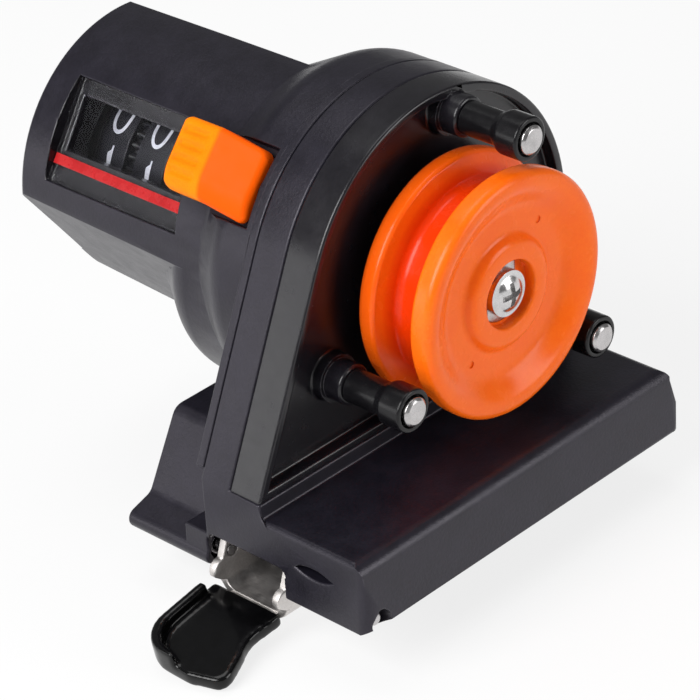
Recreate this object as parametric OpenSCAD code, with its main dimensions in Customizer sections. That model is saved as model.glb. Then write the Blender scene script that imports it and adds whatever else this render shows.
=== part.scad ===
// Clip-on fishing line counter: a grooved pulley that the line turns, a train of gears behind it,
// three number drums in a hooded barrel, and a sprung clamp that holds the counter under a rod.
// X runs along the rod, Y from the pulley towards the barrel, Z up. The origin is on the rod's axis.

/* [Pulley] */
// Diameter over the two flanges
pulley_d = 34; // [30:0.5:36]
// Width over the two flanges
pulley_w = 12.3; // [10:0.1:14]
// Thickness of a flange's rim
rim_w = 3.2; // [2:0.1:3.6]
// Diameter at the bottom of the groove, one metre of line being twelve turns
groove_d = 26.5; // [22:0.1:28]
// Width of the groove's floor
groove_floor = 4.2; // [2.4:0.1:4.6]
// Depth of the dished front face
dish_depth = 2; // [1:0.1:2.6]
// Diameter of the flat in the dish
dish_d = 23.6; // [20:0.2:26]
// Diameter of the raised hub ring
hub_d = 16.2; // [14:0.1:18]
// Diameter of the hub's counterbore
counterbore_d = 9.4; // [8.8:0.1:10.4]
// Gap between the pulley and the front cover's lip
pulley_gap = 0.5; // [0.3:0.1:1.5]

/* [Pulley shaft] */
// Diameter of the keyed head that drives the pulley
key_d = 8.6; // [7.4:0.1:8.6]
// Distance across the key's two flats
key_flats = 5.6; // [5:0.1:6.4]
// Diameter of the journal in its bush
journal_d = 5; // [4:0.1:5.6]
// Diameter of the screw's head
screw_head_d = 6.4; // [5:0.1:7]

/* [Guide posts] */
// Gap between the pulley's flanges and the rollers
line_gap = 1.45; // [1:0.05:2]
// Direction of the first post, from +X
post_angle = 80.3; // [76:0.1:84]
// Diameter of a roller's end collar
roller_d = 6; // [5.2:0.1:6.6]
// Diameter of a roller's neck
roller_neck_d = 4.6; // [4:0.1:5]
// Diameter of a guide pin's head
pin_head_d = 4; // [3.4:0.1:4.4]
// Diameter of a guide pin's shank
pin_shank_d = 2.4; // [2:0.1:2.8]
// Height of the pin's head above the roller
pin_proud = 0.65; // [0.3:0.05:1]

/* [Case] */
// Distance from the posts' axes to the outside of the case's round top
post_edge = 3.55; // [3.4:0.05:4.2]
// Distance from the pulley axis to the left end of the case
case_left = 35.9; // [34:0.1:38]
// Height of the pulley axis above the bottom of the front cover
cover_drop = 18.8; // [18.4:0.1:20]
// Height of the pulley axis above the rod's axis
axle_z = 31.2; // [31:0.1:33]
// Distance from the rod's axis forward to the front cover's lip
rod_to_lip = 3.4; // [3:0.1:4.4]
// Depth of the front cover
cover_t = 5.4; // [5.2:0.1:6]
// Depth of the chassis ring behind it
ring_t = 5.2; // [4.8:0.1:5.6]
// Width of the front cover's lip
lip_w = 1.3; // [0.8:0.1:1.6]
// Depth of the front cover's recessed face
lip_depth = 1.8; // [1:0.1:2]
// Wall of the mouldings
wall = 2; // [1.8:0.1:2.4]

/* [Barrel] */
// Diameter where the barrel leaves the flare
barrel_root_d = 37; // [36.6:0.1:38]
// Diameter at the barrel's closed end
barrel_end_d = 34.8; // [34.6:0.1:36]
// Distance from the rod's axis to the barrel's closed end
barrel_end = 54.5; // [54:0.1:56]
// Diameter of the hood that carries the window and the button
hood_d = 43.4; // [43:0.1:44]
// Distance from the axis to the flat above the hood
top_flat = 17.1; // [16.9:0.1:17.6]
// Distance from the axis to the flat below the hood
low_flat = 16.4; // [16.4:0.1:17]
// Radius of the flare where it meets the barrel
flare_r = 16; // [12:0.5:18]
// Slope of the flare
flare_slope = 27; // [24:1:32]
// Diameter of the bore that holds the drums
bore_d = 30.4; // [30:0.1:31]
// Radius of the rounded edge at the closed end
end_round = 0.9; // [0.5:0.1:1.5]

/* [Window] */
// Tilt of the window above the horizontal
window_tilt = 33; // [30:1:36]
// Width of the window round the barrel
window_w = 14.8; // [14:0.1:15.4]
// Length of the window along the barrel
window_len = 25.3; // [24:0.1:26]
// Distance from the drums' axis to the lens's face
lens_h = 20.2; // [20:0.1:20.4]
// Thickness of the lens
lens_t = 1; // [0.8:0.1:1.2]
// Width of the red index strip
strip_w = 2; // [1.4:0.1:2.4]

/* [Reset button] */
// Tilt of the button above the horizontal
button_tilt = 40; // [38:1:42]
// Width of the button round the barrel
button_w = 9.8; // [9.2:0.1:10.2]
// Length of the button along the barrel
button_len = 13.4; // [12.8:0.1:13.8]
// Height of the button's top above the hood
button_rise = 6.5; // [6:0.1:7]
// Travel of the button
button_travel = 1.2; // [0.8:0.1:1.4]

/* [Number drums] */
// Diameter of a drum
drum_d = 25.2; // [24:0.1:25.4]
// Width of a drum's number ring
drum_w = 5.6; // [5:0.1:5.8]
// Distance between drums
drum_pitch = 7.5; // [7.4:0.05:7.7]
// Diameter of the shaft that carries the drums
drum_shaft_d = 3; // [2.6:0.1:3.2]

/* [Gears] */
// Module of the first and last mesh, and of the carry
module_fine = 0.5; // [0.5:0.01:0.51]
// Module of the two middle meshes
module_mid = 0.6; // [0.6:0.01:0.61]
// Width of a gear
gear_w = 1.5; // [1.2:0.1:1.6]
// Direction of the layshaft, from +X
lay_angle = 200; // [196:1:204]
// Diameter of the layshaft and of the carry shaft
lay_d = 1.2; // [1:0.1:1.3]

/* [Base] */
// Distance from the rod's axis forward to the front of the base
base_front = 21.7; // [20.6:0.1:23]
// Height of the base's top above the rod's axis
base_top = 10.1; // [9.4:0.1:10.6]
// Depth of the base's feet below the rod's axis
foot_drop = 0.45; // [0.3:0.05:0.8]
// Width of the rod's channel
channel_w = 14; // [13.4:0.1:14.6]
// Height of the channel's roof above the rod's axis
roof_z = 4; // [3.8:0.1:4.4]
// Depth of the thumb rest behind the case
thumb_depth = 14.8; // [12:0.2:17]

/* [Clamp] */
// Diameter of the rod that the closed clamp holds
rod_d = 6.4; // [6:0.1:6.6]
// Length of the two pads
pad_len = 46; // [40:1:48]
// Distance from the pulley axis to the lever's pivot
pivot_x = 33.3; // [33:0.1:33.5]
// Height of the pivot above the rod's axis
pivot_z = 1; // [0.9:0.05:1.1]
// Diameter of the pivot pins
pivot_d = 1.8; // [1.6:0.1:1.9]
// Thickness of the lever's steel
lever_t = 1.2; // [1:0.1:1.4]
// Length of the handle beyond the base
handle_len = 15.2; // [14.6:0.2:18]
// Slope of the handle
handle_slope = 10; // [6:1:12]

/* [Hidden] */
$fn = 64;
// Step of the arcs in outlines, in degrees
arc_step = 3;
// Overrun of a cut past the face it opens
past = 1;
// Radial play of a piece that turns on a pin
run_gap = 0.05;
// Gap between mouldings and what moves past them
free_gap = 0.3;

// Radius of the posts' circle and of the case's round top
post_r = pulley_d/2 + line_gap + roller_d/2;
case_r = post_r + post_edge;

// Stations along Y
lip_y = -rod_to_lip;
face_y = lip_y + lip_depth;
cover_back = face_y + wall;
seam_y = lip_y + cover_t;
ring_back = seam_y + ring_t;
band_t = 1.4;
flare_start = ring_back + band_t;
pulley_back = lip_y - pulley_gap;
pulley_front = pulley_back - pulley_w;

// Outline of the case: a round top, a straight right side and a left side that leans out to the base
lean = 180 + atan(cover_drop/case_left) - acos(case_r/norm([case_left, cover_drop]));
function arc(r, a, b, c = [0, 0], step = arc_step) =
    let (n = max(2, ceil(abs(b - a)/step)))
    [for (i = [0:n]) c + r*[cos(a + (b - a)*i/n), sin(a + (b - a)*i/n)]];
function case_outline(inset, drop) = let (r = case_r - inset, d = drop - inset)
    concat(arc(r, 0, lean), [[(r + d*sin(lean))/cos(lean), -d], [r, -d]]);

// Side view of a bell-shaped flare from radius a down to radius b, which starts at y0
shoulder_r = 6;
function flare_run(a, b, slope) = (a - b - (shoulder_r + flare_r)*(1 - cos(slope)))/tan(slope);
function flare_len(a, b, slope) = flare_run(a, b, slope) + (shoulder_r + flare_r)*sin(slope);
function flare_side(a, b, slope, y0) = let (y1 = y0 + flare_len(a, b, slope)) concat(
    [[0, ring_back], [a + 20, ring_back], [a + 20, flare_start], [a, flare_start]],
    [for (p = arc(shoulder_r, 0, slope)) [a - shoulder_r + p[0], y0 + p[1]]],
    [for (p = arc(flare_r, slope, 0)) [b + flare_r - p[0], y1 - p[1]]],
    [[0, y1]]);
bell_y = flare_start + 3.9;
// The flare stays just inside the case's outline, so that only the flat plate behind it is trimmed
flare_out = case_r - 0.05;
flare_in = top_flat - 0.2;
flare_end = bell_y + flare_len(flare_out, flare_in, flare_slope);

// Puts a shape that was drawn along Z along +Y, on the pulley's axis
module on_axle(at = [0, 0]) translate([at[0], 0, axle_z + at[1]]) rotate([-90, 0, 0]) children();
// Extrudes an outline in X and Z from y0 to y1
module slab(y0, y1, z = axle_z)
    translate([0, y1, z]) rotate([90, 0, 0]) linear_extrude(y1 - y0) children();
// Extrudes an outline in Y and Z from x0 to x1
module rail(x0, x1) translate([x0, 0, 0]) rotate([90, 0, 90]) linear_extrude(x1 - x0) children();
// A round bar along +Y
module rod_y(r, y0, y1) translate([0, 0, y0]) cylinder(r = r, h = y1 - y0);
// Places a shape on the barrel: its X along the barrel, its Y down round the barrel, its Z outwards
module on_barrel(tilt) translate([0, 0, axle_z]) rotate([0, tilt - 90, 0]) rotate([0, 0, 90]) children();

// Where the posts, the layshaft and the carry shaft stand, from the pulley's axis
function post_at(i) = post_r*[cos(post_angle + 120*i), sin(post_angle + 120*i)];
lay_r = module_fine*24;
lay_at = lay_r*[cos(lay_angle), sin(lay_angle)];
carry_teeth = 8;
carry_ring_teeth = 46;
carry_r = module_fine*(carry_teeth + carry_ring_teeth)/2;
carry_angle = -60;
carry_at = carry_r*[cos(carry_angle), sin(carry_angle)];

// A gear's outline, with a tooth on +X, or a gap there
addendum = 0.85;
dedendum = 1.2;
function gear_outline(teeth, m, shift = 0) = let (
    p = 360/teeth, root = m*(teeth/2 - dedendum), tip = m*(teeth/2 + addendum), pitch = m*teeth/2)
    [for (i = [0:teeth - 1]) let (a = (i + shift)*p) each [
        root*[cos(a - 0.30*p), sin(a - 0.30*p)], pitch*[cos(a - 0.215*p), sin(a - 0.215*p)],
        tip*[cos(a - 0.09*p), sin(a - 0.09*p)], tip*[cos(a + 0.09*p), sin(a + 0.09*p)],
        pitch*[cos(a + 0.215*p), sin(a + 0.215*p)], root*[cos(a + 0.30*p), sin(a + 0.30*p)]]];
module gear(teeth, m, y0, w, shift = 0)
    translate([0, 0, y0]) linear_extrude(w) polygon(gear_outline(teeth, m, shift));

// A coil spring along Z, as one swept tube
coil_sides = 8;
coil_rings = 14;
module coil(r, wire, length, turns) {
    n = turns*coil_rings;
    points = [for (i = [0:n], j = [0:coil_sides - 1]) let (
        a = 360*i/coil_rings, b = 360*j/coil_sides, q = r + wire/2*cos(b))
        [q*cos(a), q*sin(a), wire/2 + (length - wire)*i/n + wire/2*sin(b)]];
    sides = [for (i = [0:n - 1], j = [0:coil_sides - 1]) let (k = (j + 1) % coil_sides) each [
        [i*coil_sides + j, (i + 1)*coil_sides + k, i*coil_sides + k],
        [i*coil_sides + j, (i + 1)*coil_sides + j, (i + 1)*coil_sides + k]]];
    first = [for (j = [0:coil_sides - 1]) j];
    last = [for (j = [coil_sides - 1:-1:0]) n*coil_sides + j];
    polyhedron(points, concat(sides, [first, last]));
}

// Case screws: three from behind, through the rear housing and the ring into the front cover
screw_d = 2.4;
screw_cap_d = 4.6;
screw_cap_t = 1.6;
screw_play = 0.15;
boss_r = 3;
screw_edge = 3.4;
screw_at = [
    [-case_left + 2.5*screw_edge, 1.1*screw_edge - cover_drop],
    [case_r - 1.4*screw_edge, 1.25*screw_edge - cover_drop],
    (case_r - screw_edge)*[cos(20), sin(20)]];
screw_tip = face_y + 0.8;
module at_screws() for (p = screw_at) on_axle([p[0], p[1]]) children();
// The room for the gears, which the front cover and the ring share
gear_room_r = case_r - wall - 0.4;
lay_room_r = module_fine*20 + 1.4;
module gear_room(y0, y1) {
    difference() {
        union() {
            on_axle() rod_y(gear_room_r, y0, y1);
            on_axle(lay_at) rod_y(lay_room_r, y0, y1);
        }
        translate([-case_left, y0 - past, 0])
            cube([2*case_left, y1 - y0 + 2*past, axle_z - cover_drop + 2*wall]);
        at_screws() rod_y(boss_r, y0 - past, y1 + past);
    }
}

// Front cover: recessed face with a lip, three bosses for the guide posts and one for the shaft's bush
post_boss_r = roller_d/2 - 0.2;
post_boss_h = 4.4;
post_boss_y = face_y - post_boss_h;
post_step_h = 1.6;
bush_t = 1;
bush_r = journal_d/2 + bush_t;
bush_boss_t = 1.6;
module front_cover() color([0.13, 0.12, 0.14]) {
    pin_seat = pin_shank_d/2;
    difference() {
        union() {
            difference() {
                slab(lip_y, seam_y) polygon(case_outline(0, cover_drop));
                slab(lip_y - past, face_y) polygon(case_outline(lip_w, cover_drop));
            }
            for (i = [0:2]) on_axle(post_at(i)) rod_y(post_boss_r, post_boss_y, face_y + wall/2);
            for (i = [0:2]) on_axle(post_at(i))
                rod_y(post_boss_r + 0.5, face_y - post_step_h, face_y + wall/2);
            on_axle() rod_y(bush_r + bush_boss_t, lip_y, cover_back);
        }
        gear_room(cover_back, seam_y + past);
        for (i = [0:2]) on_axle(post_at(i)) rod_y(pin_seat, post_boss_y - past, cover_back - 0.6);
        on_axle() rod_y(bush_r, lip_y - past, cover_back + past);
        on_axle(lay_at) rod_y(lay_d/2, face_y + 0.8, cover_back + past);
        at_screws() rod_y(screw_d/2, screw_tip, seam_y + past);
    }
}

// Chassis: the ring behind the cover and the base under it, with the rod's channel and the thumb rest
corner_r = 2;
draft = 0.9;
foot_z = -foot_drop;
skirt_z = 0.7;
thumb_top = 13.1;
thumb_right = -12;
rail_t = 4;
rail_top = 11.2;
case_floor = axle_z - cover_drop;
base_right = case_r + 1.7;
base_len = case_left + base_right;
spring_pocket_r = 2;
spring_pocket = 3;
base_profile = concat(
    [[ring_back, foot_z], [ring_back, base_top]],
    arc(corner_r, 90, 173, [-base_front + draft + corner_r, base_top - corner_r], 15),
    [[-base_front, skirt_z], [-base_front + corner_r, foot_z]]);
base_plan = concat(
    arc(corner_r, 180, 270, [-case_left + corner_r, -base_front + corner_r], 15),
    arc(corner_r, 270, 360, [base_right - corner_r, -base_front + corner_r], 15),
    [[base_right, ring_back], [-case_left, ring_back]]);
base_ends = concat(
    [[-case_left, foot_z], [base_right, foot_z]],
    [[base_right, base_top - 6.4], [base_right - 0.5, base_top - 6]],
    arc(corner_r, 0, 90, [base_right - 1.2 - corner_r, base_top - corner_r], 15),
    [[-case_left, base_top]]);
// The thumb rest has a lip at its foot and a hollow between the lip and the slope
thumb_foot = -1.3;
thumb_lip_r = 1.4;
hollow_r = 1.6;
thumb_profile = concat(
    [[thumb_right, thumb_foot]],
    arc(thumb_lip_r, 270, 105, [-case_left + 1.1, thumb_foot + thumb_lip_r], 15),
    arc(hollow_r, -72, -28, [-case_left + 2.9, thumb_foot + 5.1], 11),
    arc(2, 154, 90, [-24.9, thumb_top - 2], 16),
    [[thumb_right, thumb_top]]);
roof_r = 1.2;
channel_profile = concat(
    [[-channel_w/2, foot_z - past], [channel_w/2, foot_z - past]],
    arc(roof_r, 0, 90, [channel_w/2 - roof_r, roof_z - roof_r], 10),
    arc(roof_r, 90, 180, [roof_r - channel_w/2, roof_z - roof_r], 10));
module at_pivot() translate([-pivot_x, 0, pivot_z]) rotate([-90, 0, 0]) children();
pin_front = -base_front + 1.3;
ear_front = -base_front + 2.3;
ear_r = 1.7;
pin_back = ring_back + rail_t - free_gap;
// Half of the lens-shaped notch in the left end of the base
notch_y = -12.2;
notch_z = 5.6;
notch_r = 7.64;
notch_off = 6.89;
notch_depth = 3;
module end_notch(side) rail(-case_left - past, -case_left + notch_depth)
    translate([notch_y, notch_z + side*notch_off]) circle(r = notch_r);
module chassis() color([0.15, 0.14, 0.16]) {
    core_t = 2.2;
    core_end = 6;
    core_split = -10;
    core_front = -base_front + core_t + 1;
    difference() {
        union() {
            slab(seam_y, ring_back) polygon(case_outline(0, cover_drop));
            intersection() {
                rail(-case_left - past, base_right + past) polygon(base_profile);
                translate([0, 0, foot_z - past]) linear_extrude(axle_z) polygon(base_plan);
                slab(-base_front - past, ring_back + past, 0) polygon(base_ends);
            }
            translate([-case_left, lip_y, foot_z]) cube([base_len, ring_back - lip_y, case_floor - foot_z]);
            translate([thumb_right - past, ring_back - past, foot_z])
                cube([base_right - thumb_right + past, rail_t + past, rail_top - foot_z]);
            translate([-case_left, ring_back - past, foot_z])
                cube([case_left + thumb_right, rail_t + past, roof_z - foot_z]);
            slab(ring_back - past, ring_back + thumb_depth, 0) polygon(thumb_profile);
        }
        gear_room(seam_y - past, ring_back + past);
        rail(-case_left - past, base_right + past) polygon(channel_profile);
        at_pivot() rod_y(pivot_d/2, -base_front - past, -channel_w/2 + past);
        at_pivot() rod_y(pivot_d/2, channel_w/2 - past, pin_back);
        at_pivot() rod_y(ear_r, -base_front - past, ear_front);
        at_pivot() rod_y(spring_pocket_r, -channel_w/2 - spring_pocket, -channel_w/2 + past);
        at_pivot() rod_y(spring_pocket_r, channel_w/2 - past, channel_w/2 + spring_pocket);
        for (x = [[-case_left + core_end, core_split], [core_split + core_t, base_right - core_end]])
            translate([x[0], core_front, foot_z - past])
                cube([x[1] - x[0], -channel_w/2 - core_t - core_front, base_top - core_t - foot_z + past]);
        intersection() {
            end_notch(1);
            end_notch(-1);
        }
        at_screws() rod_y(screw_d/2 + screw_play, seam_y - past, ring_back + past);
    }
}

// Rear housing: a barrel with a hood for the window, a bell-shaped root, and a closed end
plate_r = 18.6;
plate_t = 1.5;
plate_y = flare_start + 0.3;
plate_back = plate_y + plate_t;
bore_end = barrel_end - wall;
seat_t = 1.8;
seat_y = bore_end - seat_t;
ledge = 1;
// Widths of the lens's black ledge above the drums and above the index strip
top_ledge = 2.4;
strip_ledge = 0.7;
cut_h = 10;
hood_r = hood_d/2;
hood_taper = 0.5;
window_y = bore_end - 3.2 - window_len;
housing_floor = axle_z - thumb_top - 0.5;
pad_gap = 0.6;
button_y = window_y - pad_gap - button_len;
button_h = hood_r + button_rise;
top_flat_tilt = 131;
top_flat_draft = 0.4;
low_flat_tilt = -37;
low_flat_draft = 1.5;
big = 100;
// Side view of a tapered round from radius a at the case to radius b at the closed end
function round_side(a, b) = concat(
    [[0, ring_back], [a, ring_back], [a, flare_end]],
    arc(end_round, 0, 90, [b - end_round, barrel_end - end_round], 15), [[0, barrel_end]]);
// All that lies outside a flat on the barrel
module flat_cut(tilt, h, draft) on_barrel(tilt) translate([barrel_end, -big/2, h])
    rotate([0, draft, 0]) translate([-big, 0, 0]) cube([2*big, big, big]);
module rear_housing() color([0.16, 0.15, 0.17]) {
    root_r = barrel_root_d/2;
    bulge_at = [-3.83, -3.21];
    bulge_r = 18.8;
    bulge_in = root_r - 7.5;
    bulge_slope = 36;
    bulge_y = 21.8;
    hood_tilt = (top_flat_tilt + low_flat_tilt)/2;
    difference() {
        union() {
            difference() {
                union() {
                    on_axle() rotate_extrude($fn = 96) polygon(round_side(root_r, barrel_end_d/2));
                    difference() {
                        on_axle() rotate_extrude($fn = 96) polygon(round_side(hood_r + hood_taper, hood_r));
                        on_barrel(hood_tilt) translate([-big/2, -big/2, -big]) cube([2*big, big, big]);
                    }
                }
                flat_cut(top_flat_tilt, top_flat, top_flat_draft);
                flat_cut(low_flat_tilt, low_flat, low_flat_draft);
            }
            intersection() {
                union() {
                    on_axle() rotate_extrude($fn = 96)
                        polygon(flare_side(flare_out, flare_in, flare_slope, bell_y));
                    on_axle(bulge_at) rotate_extrude($fn = 96)
                        polygon(flare_side(bulge_r, bulge_in, bulge_slope, bulge_y));
                }
                slab(ring_back, seat_y) polygon(case_outline(0, housing_floor));
            }
        }
        on_axle() rod_y(bore_d/2, ring_back - past, bore_end);
        on_axle() rod_y(plate_r + 0.1, ring_back - past, plate_back);
        on_axle(carry_at) rod_y(carry_teeth*module_fine/2 + 1, window_y, seat_y);
        on_barrel(window_tilt) translate([window_y, -window_w/2, lens_h - lens_t])
            cube([window_len, window_w, cut_h]);
        on_barrel(window_tilt) translate([window_y + ledge, top_ledge - window_w/2, lens_h - cut_h])
            cube([window_len - 2*ledge, window_w/2 - top_ledge + strip_at - strip_ledge, 2*cut_h]);
        on_barrel(button_tilt) translate([slot_y, -slot_w/2, lens_h - cut_h])
            cube([slot_len, slot_w, 2*cut_h]);
        on_barrel(button_tilt) translate([button_y - recess_play, -button_w/2 - free_gap, recess_h])
            cube([button_len, button_w + free_gap + recess_low, cut_h]);
        at_screws() rod_y(screw_d/2 + screw_play, ring_back - past, flare_end);
        at_screws() rod_y(screw_cap_d/2 + screw_play, flare_start, barrel_end);
    }
    difference() {
        union() {
            on_axle() rod_y(drum_d/2 - 0.4, drums_end + free_gap, bore_end + wall/2);
            on_axle(carry_at) rod_y(lay_d/2 + 1, seat_y, bore_end + wall/2);
        }
        on_axle() rod_y(drum_shaft_d/2, drums_end, bore_end);
        on_axle(carry_at) rod_y(lay_d/2, seat_y - past, bore_end);
    }
}

// Window lens: a flat clear plate on the window's ledge, with a groove for the index strip
lens_play = 0.1;
strip_at = 3.4;
strip_t = 0.4;
module window_lens() color([0.75, 0.8, 0.85, 0.35]) on_barrel(window_tilt) difference() {
    translate([window_y + lens_play, lens_play - window_w/2, lens_h - lens_t])
        cube([window_len - 2*lens_play, window_w - 2*lens_play, lens_t]);
    translate([window_y, strip_at, lens_h - strip_t]) cube([window_len, strip_w, strip_t + past]);
}
module index_strip() color([0.85, 0.13, 0.12]) on_barrel(window_tilt)
    translate([window_y + lens_play, strip_at, lens_h - strip_t])
        cube([window_len - 2*lens_play, strip_w, strip_t]);

module case_screws() color("silver") at_screws() {
    cap_top = flare_start + screw_cap_t;
    slot = [2.6, 0.6, 0.9];
    difference() {
        rod_y(screw_cap_d/2, flare_start, cap_top);
        for (a = [0, 90]) rotate([0, 0, a]) translate([-slot[0]/2, -slot[1]/2, cap_top - slot[2]])
            cube([slot[0], slot[1], slot[2] + past]);
    }
    rod_y(screw_d/2, screw_tip, flare_start);
}

// Pulley: two flanges with a groove between them, a dished face and a keyed hub
key_y = pulley_front + 2.6;
hub_y = pulley_front + 0.8;
key_play = 0.03;
module key_shape(play) intersection() {
    circle(d = key_d + 2*play);
    square([key_flats + 2*play, 2*key_d], center = true);
}
module pulley() color([1, 0.42, 0.1]) {
    r = pulley_d/2;
    g = groove_d/2;
    edge = 1.2;
    dimple_at = 10.3;
    front_groove = pulley_front + rim_w;
    back_groove = pulley_back - rim_w + 0.4;
    middle = (front_groove + back_groove)/2;
    side = concat(
        [[0, hub_y], [hub_d/2 - 0.9, hub_y], [hub_d/2, pulley_front + dish_depth]],
        [[dish_d/2, pulley_front + dish_depth], [dish_d/2 + 2.4, pulley_front + 0.5]],
        arc(edge, 250, 360, [r - edge, pulley_front + edge], 20),
        [[r - 0.1, front_groove - 0.3], [r - 0.5, front_groove]],
        [[g, middle - groove_floor/2], [g, middle + groove_floor/2]],
        [[r - 0.5, back_groove], [r - 0.1, back_groove + 0.3]],
        arc(edge, 0, 90, [r - edge, pulley_back - edge], 20),
        [[r - 2.4, pulley_back], [r - 3.4, pulley_back - 0.8], [0, pulley_back - 0.8]]);
    on_axle() difference() {
        rotate_extrude($fn = 128) polygon(side);
        rod_y(counterbore_d/2, hub_y - past, key_y);
        translate([0, 0, key_y - past]) linear_extrude(pulley_w + 2*past) key_shape(key_play);
        for (a = [132, 312]) rotate([0, 0, a]) translate([dimple_at, 0, 0])
            rod_y(0.5, pulley_front, pulley_front + dish_depth + 0.2);
    }
}

// Pulley shaft: a keyed head for the pulley, a journal in the bush and a stub for the drive pinion
stub_d = 1.8;
thread_d = 2.4;
thread_len = 6;
thread_gap = 0.4;
pinion_y = cover_back + 0.4;
key_back = pulley_back - 1.2;
module pulley_shaft() color([0.82, 0.78, 0.77]) on_axle() difference() {
    union() {
        translate([0, 0, key_y]) linear_extrude(key_back - key_y) key_shape(0);
        rod_y(journal_d/2, key_back, pinion_y - 0.2);
        rod_y(stub_d/2, pinion_y - 0.2, pinion_y + gear_w - 0.6);
    }
    rod_y(thread_d/2, key_y - past, key_y + thread_len);
}
module pulley_screw() color("silver") on_axle() {
    head_t = 2.2;
    head_y = key_y - head_t;
    dome_r = 4.1;
    dome_t = 0.9;
    slot = [3.4, 0.8, 1.2];
    difference() {
        union() {
            rod_y(screw_head_d/2, head_y + dome_t, key_y);
            intersection() {
                rod_y(screw_head_d/2, head_y, head_y + dome_t);
                translate([0, 0, head_y + dome_r]) sphere(r = dome_r);
            }
        }
        for (a = [0, 90]) rotate([0, 0, a]) translate([-slot[0]/2, -slot[1]/2, head_y - past])
            cube([slot[0], slot[1], slot[2] + past]);
    }
    rod_y(thread_d/2, key_y, key_y + thread_len - thread_gap);
}
module drive_pinion() color([0.8, 0.65, 0.3]) on_axle() difference() {
    rotate([0, 0, -lay_angle]) gear(8, module_fine, pinion_y, gear_w);
    rod_y(stub_d/2, pinion_y - past, pinion_y + gear_w + past);
}
module shaft_bush() color([0.8, 0.65, 0.3]) on_axle() difference() {
    rod_y(bush_r, lip_y, cover_back);
    rod_y(journal_d/2 + run_gap, lip_y - past, cover_back + past);
}

// Guide posts: three headed pins pressed into the cover, each with a roller that turns on it
roller_front = pulley_front;
roller_back = post_boss_y - run_gap;
head_seat = 1;
module guide_pins() color("silver") for (i = [0:2]) on_axle(post_at(i)) {
    rod_y(pin_head_d/2, roller_front - pin_proud, roller_front + head_seat - run_gap);
    rod_y(pin_shank_d/2, roller_front + head_seat - run_gap, cover_back - 0.6);
}
module roller(i) color([0.1, 0.1, 0.11]) on_axle(post_at(i)) {
    collar_end = roller_front + 4.4;
    difference() {
        union() {
            rod_y(roller_d/2, roller_front, collar_end);
            rod_y(roller_neck_d/2, collar_end - past, roller_back);
        }
        rod_y(pin_shank_d/2 + run_gap, roller_front - past, roller_back + past);
        rod_y(pin_head_d/2 + 0.3, roller_front - past, roller_front + head_seat);
    }
}
module top_roller() roller(0);
module left_roller() roller(1);
module right_roller() roller(2);

// Gear plate: carries the layshaft and the carry shaft, and a shelf for the reset button's spring
gear_step = gear_w + 0.4;
mesh_y = [for (i = [0:3]) pinion_y + i*gear_step];
sleeve_r = 3.4;
shelf_h = 7;
shelf_w = 6.8;
shelf_t = 1.4;
spring_y = button_y + 5.5;
module gear_plate() color([0.75, 0.75, 0.78]) {
    difference() {
        on_axle() rod_y(plate_r, plate_y, plate_back);
        on_axle() rod_y(sleeve_r + run_gap, plate_y - past, plate_back + past);
        on_axle(lay_at) rod_y(lay_d/2, plate_y - past, plate_back + past);
        on_axle(carry_at) rod_y(lay_d/2, plate_y - past, plate_back + past);
        at_screws() rod_y(screw_cap_d/2 + 0.4, plate_y - past, plate_back + past);
    }
    on_barrel(button_tilt) translate([plate_back - plate_t/2, -shelf_w/2, shelf_h - shelf_t])
        cube([spring_y + shelf_w/2 - plate_back + plate_t/2, shelf_w, shelf_t]);
}
module lay_shaft() color("silver") on_axle(lay_at) rod_y(lay_d/2, face_y + 0.8, plate_back);
module first_gear() color([0.93, 0.92, 0.88]) on_axle(lay_at) difference() {
    union() {
        rotate([0, 0, -lay_angle]) gear(40, module_fine, mesh_y[0], gear_w, 0.5);
        rod_y(module_mid*2.6, mesh_y[0], mesh_y[1] + gear_w);
        rotate([0, 0, -lay_angle]) gear(8, module_mid, mesh_y[1], gear_w, 0.5);
    }
    rod_y(lay_d/2 + run_gap, mesh_y[0] - past, mesh_y[1] + gear_w + past);
}
module idler_gear() color([0.93, 0.92, 0.88]) on_axle() difference() {
    union() {
        rotate([0, 0, -lay_angle]) gear(32, module_mid, mesh_y[1], gear_w);
        rod_y(module_mid*3.6, mesh_y[1], mesh_y[2] + gear_w);
        rotate([0, 0, -lay_angle]) gear(10, module_mid, mesh_y[2], gear_w);
    }
    rod_y(drum_shaft_d/2 + run_gap, mesh_y[1] - past, mesh_y[2] + gear_w + past);
}
module last_gear() color([0.93, 0.92, 0.88]) on_axle(lay_at) difference() {
    union() {
        rotate([0, 0, -lay_angle]) gear(30, module_mid, mesh_y[2], gear_w, 0.5);
        rod_y(module_fine*6, mesh_y[2], mesh_y[3] + gear_w);
        rotate([0, 0, -lay_angle]) gear(16, module_fine, mesh_y[3], gear_w, 0.5);
    }
    rod_y(lay_d/2 + run_gap, mesh_y[2] - past, mesh_y[3] + gear_w + past);
}

// Number drums, on one shaft; the units drum has a sleeve that reaches forward to the gears
units_y = window_y + 7.7;
drums_end = units_y + 2*drum_pitch + drum_w/2;
ring_w = 1.5;
drum_web = 1;
module drum_shaft() color("silver") on_axle() rod_y(drum_shaft_d/2, mesh_y[1] - 0.1, bore_end);
module drum_shell(y) {
    hub_r = drum_shaft_d/2 + 1.4;
    rim_t = 1.2;
    difference() {
        rod_y(drum_d/2, y - drum_w/2, y + drum_w/2);
        difference() {
            rod_y(drum_d/2 - rim_t, y - drum_w/2 + drum_web, y + drum_w/2 + past);
            rod_y(hub_r, y - drum_w/2, y + drum_w/2 + past);
        }
        rod_y(drum_shaft_d/2 + run_gap, y - drum_w/2 - past, y + drum_w/2 + past);
    }
}
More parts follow.
